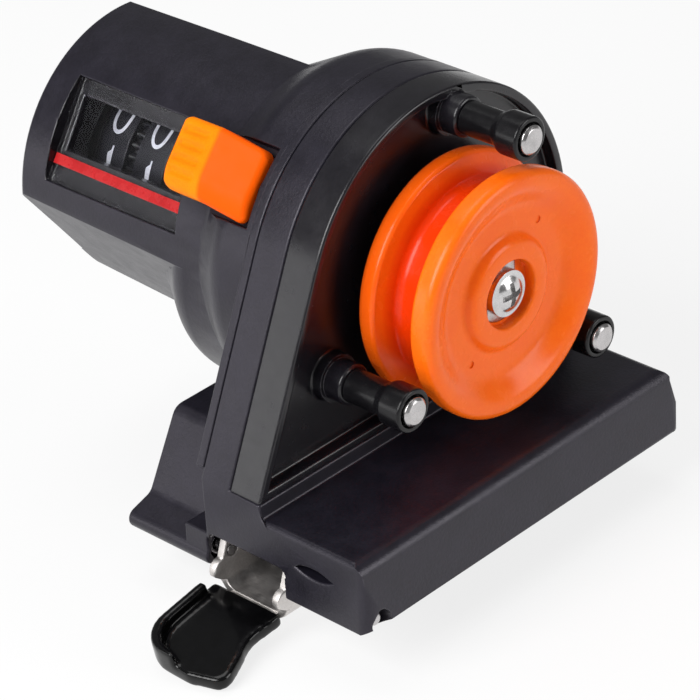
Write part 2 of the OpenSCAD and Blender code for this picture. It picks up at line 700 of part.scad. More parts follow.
// The ring of teeth on a drum's right side that its carry pinion turns
module carry_ring(y) difference() {
    rotate([0, 0, -carry_angle])
        gear(carry_ring_teeth, module_fine, y - drum_w/2 - ring_w, ring_w + drum_web/2);
    rod_y(drum_d/2 - 3, y - drum_w/2 - ring_w - past, y);
}
module units_drum() color([0.09, 0.09, 0.1]) on_axle() {
    drum_shell(units_y);
    difference() {
        union() {
            rod_y(sleeve_r, mesh_y[3], units_y - drum_w/2);
            rotate([0, 0, -lay_angle]) gear(32, module_fine, mesh_y[3], gear_w);
        }
        rod_y(drum_shaft_d/2 + run_gap, mesh_y[3] - past, units_y - drum_w/2 + past);
    }
}
module tens_drum() color([0.09, 0.09, 0.1]) on_axle() {
    drum_shell(units_y + drum_pitch);
    carry_ring(units_y + drum_pitch);
}
module hundreds_drum() color([0.09, 0.09, 0.1]) on_axle() {
    drum_shell(units_y + 2*drum_pitch);
    carry_ring(units_y + 2*drum_pitch);
}
module carry_shaft() color("silver") on_axle(carry_at) rod_y(lay_d/2, plate_y, bore_end);
module carry_pinion(y) color([0.93, 0.92, 0.88]) on_axle(carry_at) difference() {
    rotate([0, 0, -carry_angle])
        gear(carry_teeth, module_fine, y - drum_w/2 - ring_w + 0.1, ring_w - 0.2, 0.5);
    rod_y(lay_d/2 + run_gap, y - drum_pitch, y);
}
module tens_carry_pinion() carry_pinion(units_y + drum_pitch);
module hundreds_carry_pinion() carry_pinion(units_y + 2*drum_pitch);

// Reset button: a ribbed pad that slopes down towards the case, on a stem with a retaining foot
rib_r = 0.6;
rib_sink = 0.25;
rib_count = 4;
rib_pitch = 1.55;
foot_t = 1.2;
foot_ledge = 0.9;
foot_gap = 0.2;
stem_w = button_w - 2.6;
foot_h = sqrt(pow(bore_d/2 - foot_gap, 2) - pow(stem_w/2 + foot_ledge, 2)) - foot_t;
slope_len = 6.6;
slope_drop = 2.2;
stem_len = 10.6;
under_pad = hood_r + hood_taper + button_travel + free_gap;
// The stem and its foot stand clear of the gear plate, and the housing's slot is hidden under the pad
stem_in = plate_back + free_gap - button_y;
slot_y = button_y + stem_in - free_gap;
slot_len = stem_len - stem_in + 2*free_gap;
slot_w = stem_w + 2*free_gap;
// The flare is cut back to just above the hood round the button's low end
recess_h = hood_r + hood_taper + 0.1;
recess_play = 0.5;
recess_low = 0.9;
module reset_button() color([1, 0.52, 0.06]) on_barrel(button_tilt) {
    half = button_w/2;
    edge = 1.4;
    low_edge = 4;
    side = [
        [0, under_pad], [0, button_h - slope_drop - 0.6], [0.6, button_h - slope_drop],
        [slope_len, button_h], [button_len - 1, button_h - 0.4], [button_len, button_h - 1.2],
        [button_len, under_pad]];
    cross = concat(
        [[-half, under_pad]], arc(edge, 180, 90, [edge - half, button_h - edge], 15),
        arc(low_edge, 90, 30, [half - low_edge, button_h - low_edge], 10),
        [[half, button_h - 3], [half, under_pad]]);
    difference() {
        intersection() {
            translate([button_y, half, 0]) rotate([90, 0, 0])
                linear_extrude(button_w) polygon(side);
            translate([button_y - past, 0, 0]) rotate([90, 0, 90])
                linear_extrude(button_len + 2*past) polygon(cross);
        }
        for (i = [0:rib_count - 1])
            translate([button_y + slope_len + 0.8, (i - 1.9)*rib_pitch, button_h + rib_r - rib_sink])
                rotate([0, 90, 0]) cylinder(r = rib_r, h = button_len);
    }
    translate([button_y + stem_in, -stem_w/2, foot_h])
        cube([stem_len - stem_in, stem_w, under_pad + past - foot_h]);
    translate([button_y + stem_in, -stem_w/2 - foot_ledge, foot_h])
        cube([stem_len - stem_in - 0.4, stem_w + 2*foot_ledge, foot_t]);
}
reset_coil_r = 2.2;
reset_wire = 0.5;
module reset_spring() color("silver") on_barrel(button_tilt)
    translate([spring_y, 0, shelf_h]) coil(reset_coil_r, reset_wire, foot_h - shelf_h, 5);

// Clamp lever: a steel channel that straddles the rod, with the jaw under the base and a tongue
jaw_pad_t = 0.8;
web_top = -rod_d/2 - jaw_pad_t;
web_bottom = web_top - lever_t;
flange_out = channel_w/2 - 0.7;
bend_r = 3;
jaw_right = 20.5;
lobe_r = roof_z - pivot_z - free_gap - 0.3;
lever_left = case_left - 0.9;
tongue_len = handle_len - 3;
tongue_w = 8.2;
channel_steel = concat(
    [[flange_out, roof_z], [flange_out - lever_t, roof_z]],
    arc(bend_r - lever_t, 0, -90, [flange_out - bend_r, web_top + bend_r - lever_t], 15),
    arc(bend_r - lever_t, -90, -180, [bend_r - flange_out, web_top + bend_r - lever_t], 15),
    [[lever_t - flange_out, roof_z], [-flange_out, roof_z]],
    arc(bend_r, 180, 270, [bend_r - flange_out, web_bottom + bend_r], 15),
    arc(bend_r, 270, 360, [flange_out - bend_r, web_bottom + bend_r], 15));
flange_side = concat(
    [[-lever_left, web_bottom], [jaw_right, web_bottom], [jaw_right, -1.6], [-pivot_x + 6, -1.6]],
    arc(lobe_r, 20, 110, [-pivot_x, pivot_z], 15),
    arc(1.6, 90, 200, [-lever_left - 0.2, -1.3], 20),
    [[-lever_left, -3]]);
module on_handle() translate([-lever_left, 0, web_top]) rotate([0, -handle_slope, 0]) children();
module clamp_lever() color([0.8, 0.77, 0.76]) {
    difference() {
        intersection() {
            rail(-lever_left - 3, jaw_right + past) polygon(channel_steel);
            slab(-channel_w, channel_w, 0) polygon(flange_side);
        }
        at_pivot() rod_y(pivot_d/2 + run_gap, -channel_w, channel_w);
    }
    on_handle() translate([-tongue_len, -tongue_w/2, -lever_t])
        cube([tongue_len + 0.4, tongue_w, lever_t - 0.1]);
}

// Lever grip: dipped plastic over the tongue, flared at the front corner, with the rear edge turned up
grip_skin = 0.45;
grip_play = 0.03;
turn_up_h = 1.9;
turn_up_t = 1.5;
turn_up_x = -2.6;
turn_up_y = 0;
grip_front = -tongue_w/2 - 0.8;
grip_rear = flange_out + 0.6;
grip_plan = concat(
    [[-0.3, grip_front - 0.4], [-2, grip_front - 0.3], [-4.4, grip_front]],
    arc(6, 90, 125, [-5, grip_front - 6], 7),
    arc(1.8, 285, 190, [-handle_len + 2.7, grip_front - 0.7], 15),
    [[-handle_len, grip_front + 2.4], [-handle_len + 0.1, grip_rear - 6]],
    arc(5.2, 172, 90, [-handle_len + 5.3, grip_rear - 5.2], 10),
    [[-0.3, grip_rear]]);
module lever_grip() color([0.05, 0.05, 0.06]) on_handle() difference() {
    union() {
        translate([0, 0, -lever_t - grip_skin]) linear_extrude(lever_t + 2*grip_skin) polygon(grip_plan);
        translate([0, 0, -lever_t]) linear_extrude(lever_t + grip_skin + turn_up_h) difference() {
            polygon(grip_plan);
            translate([turn_up_t/2, -turn_up_t]) polygon(grip_plan);
            translate([-big, turn_up_y - big]) square([2*big, big]);
            translate([turn_up_x, -big]) square([big, 2*big]);
        }
    }
    translate([-tongue_len - grip_play, -tongue_w/2 - grip_play, -lever_t - grip_play])
        cube([tongue_len + past, tongue_w + 2*grip_play, lever_t - 0.1 + 2*grip_play]);
}

// Pads: rubber, hollowed to the rod's radius, one on the jaw and one under the channel's roof
pad_w = 2*(flange_out - bend_r);
pad_edge = rod_d/4;
module pad(z0, z1) difference() {
    translate([-pad_len/2 - 3, -pad_w/2, z0]) cube([pad_len, pad_w, z1 - z0]);
    rail(-case_left, case_left) circle(d = rod_d);
}
module jaw_pad() color([0.08, 0.08, 0.08]) pad(web_top, -pad_edge);
module rod_pad() color([0.08, 0.08, 0.08]) pad(pad_edge, roof_z);

// Pivot pins: one from each side of the channel, so that the rod passes between them
pin_in = flange_out - lever_t;
module pivot_pins() color("silver") at_pivot() {
    rod_y(pivot_d/2, pin_front, -pin_in);
    rod_y(pivot_d/2, pin_in, pin_back);
}
lever_wire = 0.55;
module lever_springs() color("silver") at_pivot()
    for (y = [-channel_w/2 - spring_pocket + lever_wire/3, channel_w/2 + lever_wire/3])
        translate([0, 0, y]) coil(pivot_d/2 + lever_wire, lever_wire, spring_pocket - lever_wire*2/3, 3);

front_cover();
chassis();
rear_housing();
window_lens();
index_strip();
case_screws();
pulley();
pulley_shaft();
pulley_screw();
drive_pinion();
shaft_bush();
guide_pins();
top_roller();
left_roller();
right_roller();
gear_plate();
lay_shaft();
first_gear();
idler_gear();
last_gear();
drum_shaft();
units_drum();
tens_drum();
hundreds_drum();
carry_shaft();
tens_carry_pinion();
hundreds_carry_pinion();
reset_button();
reset_spring();
clamp_lever();
lever_grip();
jaw_pad();
rod_pad();
pivot_pins();
lever_springs();
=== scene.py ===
import math

import bmesh
import bpy
from mathutils import Matrix, Quaternion, Vector


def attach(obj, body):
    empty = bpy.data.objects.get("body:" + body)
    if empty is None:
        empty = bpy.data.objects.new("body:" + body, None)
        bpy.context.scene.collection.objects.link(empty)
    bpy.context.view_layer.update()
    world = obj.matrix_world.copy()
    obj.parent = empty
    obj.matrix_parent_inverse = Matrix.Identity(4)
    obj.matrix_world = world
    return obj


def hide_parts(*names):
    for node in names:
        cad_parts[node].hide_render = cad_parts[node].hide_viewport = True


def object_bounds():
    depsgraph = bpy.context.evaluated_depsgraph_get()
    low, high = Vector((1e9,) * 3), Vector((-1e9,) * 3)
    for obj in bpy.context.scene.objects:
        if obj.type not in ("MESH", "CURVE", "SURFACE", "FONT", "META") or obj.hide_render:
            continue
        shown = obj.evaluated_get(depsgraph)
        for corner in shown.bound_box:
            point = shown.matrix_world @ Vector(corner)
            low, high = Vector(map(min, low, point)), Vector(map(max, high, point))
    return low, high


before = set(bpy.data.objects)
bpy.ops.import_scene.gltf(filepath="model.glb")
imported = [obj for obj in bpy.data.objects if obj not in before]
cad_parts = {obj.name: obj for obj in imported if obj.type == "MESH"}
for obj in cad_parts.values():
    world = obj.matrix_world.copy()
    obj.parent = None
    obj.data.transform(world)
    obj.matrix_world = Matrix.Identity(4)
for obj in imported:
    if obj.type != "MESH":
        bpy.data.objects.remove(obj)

cad_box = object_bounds()
MM = 0.001

# Front cover: the black moulding behind the pulley, with a sunk face, a lip round it and three post bosses.
# Injection-moulded ABS with a fine satin texture, screwed from behind to the ring of the chassis.
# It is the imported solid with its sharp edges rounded, as they leave the mould.
COVER_ROUND = 0.35
COVER_DARK = (0.0045, 0.0040, 0.0058, 1)
COVER_LIGHT = (0.0095, 0.0085, 0.0120, 1)
# The pale edge colour is partly wear and partly a painted highlight along the lip and the edges.
COVER_WORN_SHEEN = (0.075, 0.070, 0.080, 1)


def put(tree, kind, inputs=None, **settings):
    """Adds one node; a socket given as an input is linked, and a value is set"""
    node = tree.nodes.new(kind)
    for key, value in settings.items():
        setattr(node, key, value)
    for key, value in (inputs or {}).items():
        if isinstance(value, bpy.types.NodeSocket):
            tree.links.new(value, node.inputs[key])
        else:
            node.inputs[key].default_value = value
    return node


def new_group(name, inputs, outputs):
    """Starts a shader node group with named float sockets"""
    group = bpy.data.node_groups.new(name, "ShaderNodeTree")
    for socket, value in inputs.items():
        made = group.interface.new_socket(socket, in_out="INPUT", socket_type="NodeSocketFloat")
        made.default_value = value
    for socket in outputs:
        group.interface.new_socket(socket, in_out="OUTPUT", socket_type="NodeSocketFloat")
    return group, put(group, "NodeGroupInput").outputs, put(group, "NodeGroupOutput")


def moulded_grain_group():
    """The texture of a spark-eroded mould: fine grain, slow changes of tone, and patches of gloss"""
    group, given, out = new_group(
        "moulded_grain", {"Grain": 4000.0, "Mottle": 260.0}, ("Height", "Tone", "Gloss"))
    place = put(group, "ShaderNodeTexCoord").outputs["Object"]
    fine = put(group, "ShaderNodeTexNoise", {
        "Vector": place, "Scale": given["Grain"], "Detail": 3.0, "Roughness": 0.6})
    slow = put(group, "ShaderNodeTexNoise", {
        "Vector": place, "Scale": given["Mottle"], "Detail": 4.0, "Roughness": 0.55})
    coarse = put(group, "ShaderNodeMath", {0: given["Grain"], 1: 0.22}, operation="MULTIPLY")
    patch = put(group, "ShaderNodeTexNoise", {"Vector": place, "Scale": coarse.outputs[0], "Detail": 2.0})
    both = put(group, "ShaderNodeMath", {0: fine.outputs["Fac"], 1: slow.outputs["Fac"]}, operation="ADD")
    tone = put(group, "ShaderNodeMapRange", {0: both.outputs[0], 1: 0.75, 2: 1.25})
    mixed = put(group, "ShaderNodeMath", {0: patch.outputs["Fac"], 1: slow.outputs["Fac"]}, operation="ADD")
    gloss = put(group, "ShaderNodeMapRange", {0: mixed.outputs[0], 1: 0.7, 2: 1.3})
    group.links.new(fine.outputs["Fac"], out.inputs["Height"])
    group.links.new(tone.outputs[0], out.inputs["Tone"])
    group.links.new(gloss.outputs[0], out.inputs["Gloss"])
    return group


def edge_wear_group():
    """A mask along the edges that hands and line rub, broken up by a noise; with a pale edge colour it also
    paints a highlight along the edges
    """
    group, given, out = new_group("edge_wear_and_sheen", {"Width": 0.0003, "Breakup": 900.0}, ("Worn",))
    soft = put(group, "ShaderNodeBevel", {"Radius": given["Width"]}, samples=6)
    true = put(group, "ShaderNodeNewGeometry")
    facing = put(group, "ShaderNodeVectorMath", {0: soft.outputs[0], 1: true.outputs["Normal"]},
                 operation="DOT_PRODUCT")
    edge = put(group, "ShaderNodeMapRange", {0: facing.outputs["Value"], 1: 0.995, 2: 0.86})
    place = put(group, "ShaderNodeTexCoord").outputs["Object"]
    rub = put(group, "ShaderNodeTexNoise", {
        "Vector": place, "Scale": given["Breakup"], "Detail": 4.0, "Roughness": 0.65})
    broken = put(group, "ShaderNodeMapRange", {0: rub.outputs["Fac"], 1: 0.38, 2: 0.66})
    worn_and_sheen = put(group, "ShaderNodeMath", {0: edge.outputs[0], 1: broken.outputs[0]}, operation="MULTIPLY")
    group.links.new(worn_and_sheen.outputs[0], out.inputs["Worn"])
    return group


MOULDED_GRAIN = moulded_grain_group()
EDGE_WEAR_AND_SHEEN = edge_wear_group()


def new_material(name):
    """An empty material with its output and a Principled shader"""
    material = bpy.data.materials.new(name)
    material.use_nodes = True
    tree = material.node_tree
    tree.nodes.clear()
    shader = put(tree, "ShaderNodeBsdfPrincipled")
    put(tree, "ShaderNodeOutputMaterial", {"Surface": shader.outputs[0]})
    return material, tree, shader


def two_tones(tree, factor, dark, light):
    """A colour that moves from dark to light"""
    ramp = put(tree, "ShaderNodeValToRGB", {"Fac": factor})
    ramp.color_ramp.elements[0].color = dark
    ramp.color_ramp.elements[1].color = light
    return ramp.outputs["Color"]


def moulded_plastic(name, dark, light, worn_and_sheen, gloss, specular, grain=4000.0, depth=0.012, soft=0.12, wear=0.3):
    """Moulded plastic: grain in the bump, mottled tone, uneven gloss and paler edges from wear, which with a
    pale edge colour are also a painted highlight
    """
    material, tree, shader = new_material(name)
    skin = put(tree, "ShaderNodeGroup", node_tree=MOULDED_GRAIN)
    skin.inputs["Grain"].default_value = grain
    rubbed_and_sheen = put(tree, "ShaderNodeGroup", node_tree=EDGE_WEAR_AND_SHEEN)
    rubbed_and_sheen.inputs["Width"].default_value = wear*MM
    body = two_tones(tree, skin.outputs["Tone"], dark, light)
    # painted highlight: where the edge colour is pale, the edge mask paints a highlight along the edges as
    # well as wear
    colour = put(tree, "ShaderNodeMix", {0: rubbed_and_sheen.outputs["Worn"], 6: body, 7: worn_and_sheen}, data_type="RGBA")
    rough = put(tree, "ShaderNodeMapRange", {0: skin.outputs["Gloss"], 3: gloss[0], 4: gloss[1]})
    corner = put(tree, "ShaderNodeBevel", {"Radius": soft*MM}, samples=4)
    bump = put(tree, "ShaderNodeBump", {
        "Height": skin.outputs["Height"], "Distance": depth*MM, "Strength": 0.6, "Normal": corner.outputs[0]})
    tree.links.new(colour.outputs[2], shader.inputs["Base Color"])
    tree.links.new(rough.outputs[0], shader.inputs["Roughness"])
    tree.links.new(bump.outputs[0], shader.inputs["Normal"])
    shader.inputs["Specular IOR Level"].default_value = specular
    return material


def show(name, mesh_bm, material, body, nodes, keep_sharp=42):
    """Makes a piece from a bmesh, shades it smooth between its sharp edges, and fixes it to its body"""
    bmesh.ops.triangulate(mesh_bm, faces=[face for face in mesh_bm.faces if len(face.verts) > 4])
    for face in mesh_bm.faces:
        face.smooth = True
    for edge in mesh_bm.edges:
        edge.smooth = not (edge.is_manifold and edge.calc_face_angle() > math.radians(keep_sharp))
    mesh = bpy.data.meshes.new(name)
    mesh_bm.to_mesh(mesh)
    mesh_bm.free()
    mesh.materials.append(material)
    piece = bpy.data.objects.new(name, mesh)
    bpy.context.scene.collection.objects.link(piece)
    even = piece.modifiers.new("even_shading", "WEIGHTED_NORMAL")
    even.keep_sharp = True
    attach(piece, body)
    if nodes:
        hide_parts(*nodes)
    return piece


def merged_copy(node, whole=True):
    """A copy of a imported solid's mesh with its doubles merged and, if asked, its flat faces made whole"""
    copy = bmesh.new()
    copy.from_mesh(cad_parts[node].data)
    bmesh.ops.remove_doubles(copy, verts=copy.verts, dist=0.002*MM)
    if whole:
        bmesh.ops.dissolve_limit(copy, angle_limit=math.radians(1), verts=copy.verts, edges=copy.edges)
    return copy


def room_beside(edge, loop):
    """How far a face reaches from one of its edges, measured square to that edge's middle"""
    start, end = loop.vert.co, loop.link_loop_next.vert.co
    along = (end - start).normalized()
    inward = loop.face.normal.cross(along)
    middle = (start + end)/2
    nearest = 1.0
    for other in loop.face.edges:
        if other is edge:
            continue
        p, q = (v.co - middle for v in other.verts)
        a, b = p.dot(along), q.dot(along)
        if a*b < 0:
            reach = p.dot(inward) + (q - p).dot(inward)*a/(a - b)
            if 0 < reach < nearest:
                nearest = reach
    return nearest


def round_edges(solid, radius, sharp=38, segments=3, where=None):
    """Rounds the sharp edges of a solid, or those in one place, where both faces have room for the radius"""
    edges = [e for e in solid.edges if e.is_manifold and e.calc_face_angle() > math.radians(sharp)]
    if where:
        edges = [e for e in edges if where(e)]
    picked = set(edges)
    chosen = []
    for edge in edges:
        if min(room_beside(edge, loop) for loop in edge.link_loops) < 2.3*radius:
            continue
        beside = [o for v in edge.verts for o in v.link_edges if o not in picked]
        if any(o.calc_length() < 1.2*radius for o in beside):
            continue
        chosen.append(edge)
    bmesh.ops.bevel(solid, geom=chosen, offset=radius, offset_type="OFFSET", segments=segments, profile=0.5,
                    affect="EDGES", clamp_overlap=False, material=-1)


black_plastic = moulded_plastic(
    "black_moulding", COVER_DARK, COVER_LIGHT, COVER_WORN_SHEEN, gloss=(0.22, 0.28), specular=0.5, grain=2600.0,
    depth=0.015)
cover = merged_copy("front_cover")
round_edges(cover, COVER_ROUND*MM)
show("front_cover_moulding", cover, black_plastic, "case", ["front_cover"])

# Chassis: the ring behind the cover, in one moulding with the base, the rod's channel and the thumb rest.
# The same ABS in charcoal, with a duller texture from its mould. The cover and the housing close it.
CHASSIS_ROUND = 0.35
BASE_ROUND = 0.8
BASE_END = -35.5
BASE_LOW = 7.0
BASE_TOP = 10.2
RING_FRONT = -3.0
CHASSIS_DARK = (0.0062, 0.0056, 0.0094, 1)
CHASSIS_LIGHT = (0.0112, 0.0102, 0.0166, 1)
# The pale edge colour is partly wear and partly a painted highlight along the edges of the chassis and the
# housing.
CHASSIS_WORN_SHEEN = (0.080, 0.076, 0.090, 1)
CHASSIS_SHINE = (0.95, 0.90, 1.0, 1)
charcoal_plastic = moulded_plastic(
    "charcoal_moulding", CHASSIS_DARK, CHASSIS_LIGHT, CHASSIS_WORN_SHEEN, gloss=(0.32, 0.39), specular=0.46,
    grain=2200.0, depth=0.05)
shader = next(n for n in charcoal_plastic.node_tree.nodes if n.type == "BSDF_PRINCIPLED")
shader.inputs["Specular Tint"].default_value = CHASSIS_SHINE


def is_base_rim(edge):
    """True for the upper edge of the base's left end"""
    return all(v.co.x < BASE_END*MM and BASE_LOW*MM < v.co.z < BASE_TOP*MM and v.co.y < RING_FRONT*MM
               for v in edge.verts)


chassis = merged_copy("chassis")
round_edges(chassis, BASE_ROUND*MM, segments=4, where=is_base_rim)
round_edges(chassis, CHASSIS_ROUND*MM)
show("chassis_moulding", chassis, charcoal_plastic, "case", ["chassis"])

# Rear housing: the hooded barrel with its bell-shaped root, closed at the end, with window and button's slot.
# Charcoal ABS like the chassis, held by the three case screws; the window's ledge is black.
HOUSING_ROUND = 0.25
CREASE_ROUND = 0.7
CREASE_FROM = 34.0
END_FROM = 54.4
AXLE_Z = 31.2
WINDOW_TILT = 33.0
WINDOW_FROM = 23.9
WINDOW_TO = 49.4
WINDOW_HALF = 7.45


def is_crease(edge):
    """True for the two long creases beside the hood and for the edges of the flats at the closed end"""
    start, end = (vert.co for vert in edge.verts)
    if min(start.y, end.y) > END_FROM*MM:
        return True
    along = (end - start).normalized()
    lengthwise = abs(along.y) > 0.95
    return max(start.y, end.y) > CREASE_FROM*MM and lengthwise and edge.calc_face_angle() < math.radians(60)


def on_barrel(tilt):
    """Puts X along the barrel, Y down round it and Z outwards at a tilt"""
    turn = Matrix.Rotation(math.radians(tilt - 90), 4, "Y") @ Matrix.Rotation(math.radians(90), 4, "Z")
    return Matrix.Translation((0, 0, AXLE_Z*MM)) @ turn


housing = merged_copy("rear_housing")
round_edges(housing, CREASE_ROUND*MM, sharp=25, segments=4, where=is_crease)
round_edges(housing, HOUSING_ROUND*MM)
to_window = on_barrel(WINDOW_TILT).inverted()
for face in housing.faces:
    spot = to_window @ face.calc_center_median()/MM
    if WINDOW_FROM < spot.x < WINDOW_TO and abs(spot.y) < WINDOW_HALF and spot.z > 0:
        face.material_index = 1
shell = show("rear_housing_moulding", housing, charcoal_plastic, "case", ["rear_housing"])
shell.data.materials.append(black_plastic)

# Case screws: three plated cross-head screws from behind, through the housing and the ring into the cover.
# Bright plating over steel, with fine turning marks.
SCREW_ROUND = 0.12
SCREW_DARK = (0.52, 0.51, 0.51, 1)
SCREW_LIGHT = (0.70, 0.69, 0.69, 1)


def tool_marks_group():
    """Fine scratches and turning marks on metal, with a slow change of tone"""
    group, given, out = new_group(
        "tool_marks", {"Fine": 6000.0, "Stretch": 0.08, "Mottle": 500.0}, ("Height", "Tone", "Gloss"))
    place = put(group, "ShaderNodeTexCoord").outputs["Object"]
    long_way = put(group, "ShaderNodeCombineXYZ", {"X": 1.0, "Y": given["Stretch"], "Z": 1.0})
    drawn = put(group, "ShaderNodeVectorMath", {0: place, 1: long_way.outputs[0]}, operation="MULTIPLY")
    lines = put(group, "ShaderNodeTexNoise", {
        "Vector": drawn.outputs[0], "Scale": given["Fine"], "Detail": 3.0})
    slow = put(group, "ShaderNodeTexNoise", {"Vector": place, "Scale": given["Mottle"], "Detail": 4.0})
    both = put(group, "ShaderNodeMath", {0: lines.outputs["Fac"], 1: slow.outputs["Fac"]}, operation="ADD")
    tone = put(group, "ShaderNodeMapRange", {0: both.outputs[0], 1: 0.7, 2: 1.3})
    gloss = put(group, "ShaderNodeMapRange", {0: slow.outputs["Fac"], 1: 0.3, 2: 0.7})
    group.links.new(lines.outputs["Fac"], out.inputs["Height"])
    group.links.new(tone.outputs[0], out.inputs["Tone"])
    group.links.new(gloss.outputs[0], out.inputs["Gloss"])
    return group


TOOL_MARKS = tool_marks_group()


def bright_metal(name, dark, light, gloss, fine=6000.0, depth=0.004, soft=0.08):
    """Metal with tool marks in its bump, uneven gloss and a slightly tarnished tone"""
    material, tree, shader = new_material(name)
    marks = put(tree, "ShaderNodeGroup", node_tree=TOOL_MARKS)
    marks.inputs["Fine"].default_value = fine
    colour = two_tones(tree, marks.outputs["Tone"], dark, light)
    rough = put(tree, "ShaderNodeMapRange", {
        0: marks.outputs["Gloss"], 3: gloss[0], 4: gloss[1]})
    corner = put(tree, "ShaderNodeBevel", {"Radius": soft*MM}, samples=4)
    bump = put(tree, "ShaderNodeBump", {
        "Height": marks.outputs["Height"], "Distance": depth*MM, "Strength": 0.5,
        "Normal": corner.outputs[0]})
    tree.links.new(colour, shader.inputs["Base Color"])
    tree.links.new(rough.outputs[0], shader.inputs["Roughness"])
    tree.links.new(bump.outputs[0], shader.inputs["Normal"])
    shader.inputs["Metallic"].default_value = 1.0
    return material


screw_steel = bright_metal("plated_screw", SCREW_DARK, SCREW_LIGHT, gloss=(0.12, 0.26))
case_screws = merged_copy("case_screws")
round_edges(case_screws, SCREW_ROUND*MM)
show("case_screw_set", case_screws, screw_steel, "case", ["case_screws"])

# Gear plate, shafts and bush: the works that the cover hides, on a milled aluminium plate.
# Ground steel shafts and a turned brass bush and pinion, pressed into the mouldings.
STEEL_DARK = (0.42, 0.41, 0.41, 1)
STEEL_LIGHT = (0.62, 0.60, 0.60, 1)
BRASS_DARK = (0.55, 0.36, 0.10, 1)
BRASS_LIGHT = (0.72, 0.50, 0.18, 1)
PLATE_DARK = (0.46, 0.46, 0.48, 1)
PLATE_LIGHT = (0.62, 0.62, 0.64, 1)
ground_steel = bright_metal("ground_steel", STEEL_DARK, STEEL_LIGHT, gloss=(0.18, 0.34))
bearing_brass = bright_metal("turned_brass", BRASS_DARK, BRASS_LIGHT, gloss=(0.2, 0.36))
plate_aluminium = bright_metal("milled_aluminium", PLATE_DARK, PLATE_LIGHT, gloss=(0.3, 0.46), fine=3000.0)


def paint(material, *nodes):
    """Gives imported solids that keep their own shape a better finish"""
    for node in nodes:
        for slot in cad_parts[node].material_slots:
            slot.material = material


paint(plate_aluminium, "gear_plate")
paint(ground_steel, "lay_shaft", "drum_shaft", "carry_shaft")
paint(bearing_brass, "shaft_bush", "drive_pinion")

# Gears: the reduction train and the two carry pinions, between the plate and the cover.
# Natural acetal, cream coloured and waxy, moulded in one piece with their small pinions.
GEAR_DARK = (0.66, 0.60, 0.48, 1)
GEAR_LIGHT = (0.78, 0.73, 0.62, 1)
GEAR_WORN = (0.86, 0.83, 0.75, 1)
gear_plastic = moulded_plastic(
    "natural_acetal", GEAR_DARK, GEAR_LIGHT, GEAR_WORN, gloss=(0.3, 0.45), specular=0.5)
paint(gear_plastic, "first_gear", "idler_gear", "last_gear", "tens_carry_pinion", "hundreds_carry_pinion")

# Number drums: three black drums on one shaft, which read metres, tens and hundreds through the window.
# Moulded styrene, with the digits 0 to 9 printed white round each rim.
DRUM_ROUND = 0.2
DRUM_R = 12.6
DRUM_AT = {"units": 31.7, "tens": 39.2, "hundreds": 46.7}
DIGIT_HEIGHT = 6.3
DIGIT_WIDTH = 0.82
DIGIT_THIN = -0.016
DIGIT_INK = 0.04
ZERO_AT = 53.3
DIGIT_PITCH = 36.0
DIGIT_ROWS = 14
ONE_SHAPE = (
    (-0.028, -0.5), (0.028, -0.5), (0.028, 0.5), (-0.02, 0.5), (-0.14, 0.32), (-0.14, 0.26), (-0.028, 0.4))
DRUM_DARK = (0.0045, 0.0043, 0.0068, 1)
DRUM_LIGHT = (0.0080, 0.0077, 0.0118, 1)
DRUM_WORN = (0.035, 0.035, 0.038, 1)
INK_DARK = (0.27, 0.27, 0.31, 1)
INK_LIGHT = (0.40, 0.40, 0.45, 1)


def flat_digit(character):
    """A plain digit as a flat mesh, centred, with its height along Y"""
    words = bpy.data.curves.new("digit_shape", "FONT")
    words.body = character
    words.size = 1.0
    words.resolution_u = 8
    words.offset = DIGIT_THIN
    shape = bpy.data.objects.new("digit_shape", words)
    bpy.context.scene.collection.objects.link(shape)
    seen = shape.evaluated_get(bpy.context.evaluated_depsgraph_get())
    mesh = bpy.data.meshes.new_from_object(seen)
    flat = bmesh.new()
    if character == "1":
        corners = [flat.verts.new((x, y, 0)) for x, y in ONE_SHAPE]
        bmesh.ops.contextual_create(flat, geom=corners)
    else:
        flat.from_mesh(mesh)
    bpy.data.objects.remove(shape)
    bpy.data.curves.remove(words)
    bpy.data.meshes.remove(mesh)
    bmesh.ops.remove_doubles(flat, verts=flat.verts, dist=1e-5)
    low = Vector([min(v.co[i] for v in flat.verts) for i in range(3)])
    high = Vector([max(v.co[i] for v in flat.verts) for i in range(3)])
    bmesh.ops.translate(flat, verts=flat.verts, vec=-(low + high)/2)
    size = DIGIT_HEIGHT*MM/(high.y - low.y)
    bmesh.ops.scale(flat, verts=flat.verts, vec=(size*DIGIT_WIDTH, size, 1))
    for row in range(1, DIGIT_ROWS):
        level = (row/DIGIT_ROWS - 0.5)*DIGIT_HEIGHT*MM
        everything = flat.verts[:] + flat.edges[:] + flat.faces[:]
        bmesh.ops.bisect_plane(flat, geom=everything, plane_co=(0, level, 0), plane_no=(0, 1, 0))
    return flat


def printed_digits(y):
    """Ten digits bent round a drum's rim, reading upwards, with the thickness of the ink"""
    ring = bmesh.new()
    outer = (DRUM_R + DIGIT_INK)*MM
    for number in range(10):
        digit = flat_digit(str(number))
        middle = math.radians(ZERO_AT - number*DIGIT_PITCH)
        for vert in digit.verts:
            up = middle + vert.co.y/outer
            vert.co = Vector((-outer*math.cos(up), y*MM - vert.co.x, AXLE_Z*MM + outer*math.sin(up)))
        part = bpy.data.meshes.new("digit_part")
        digit.to_mesh(part)
        digit.free()
        ring.from_mesh(part)
        bpy.data.meshes.remove(part)
    bmesh.ops.recalc_face_normals(ring, faces=ring.faces)
    for face in ring.faces:
        out = face.calc_center_median() - Vector((0, y*MM, AXLE_Z*MM))
        if face.normal.dot(out) < 0:
            face.normal_flip()
    bmesh.ops.solidify(ring, geom=ring.faces[:], thickness=1.5*DIGIT_INK*MM)
    return ring


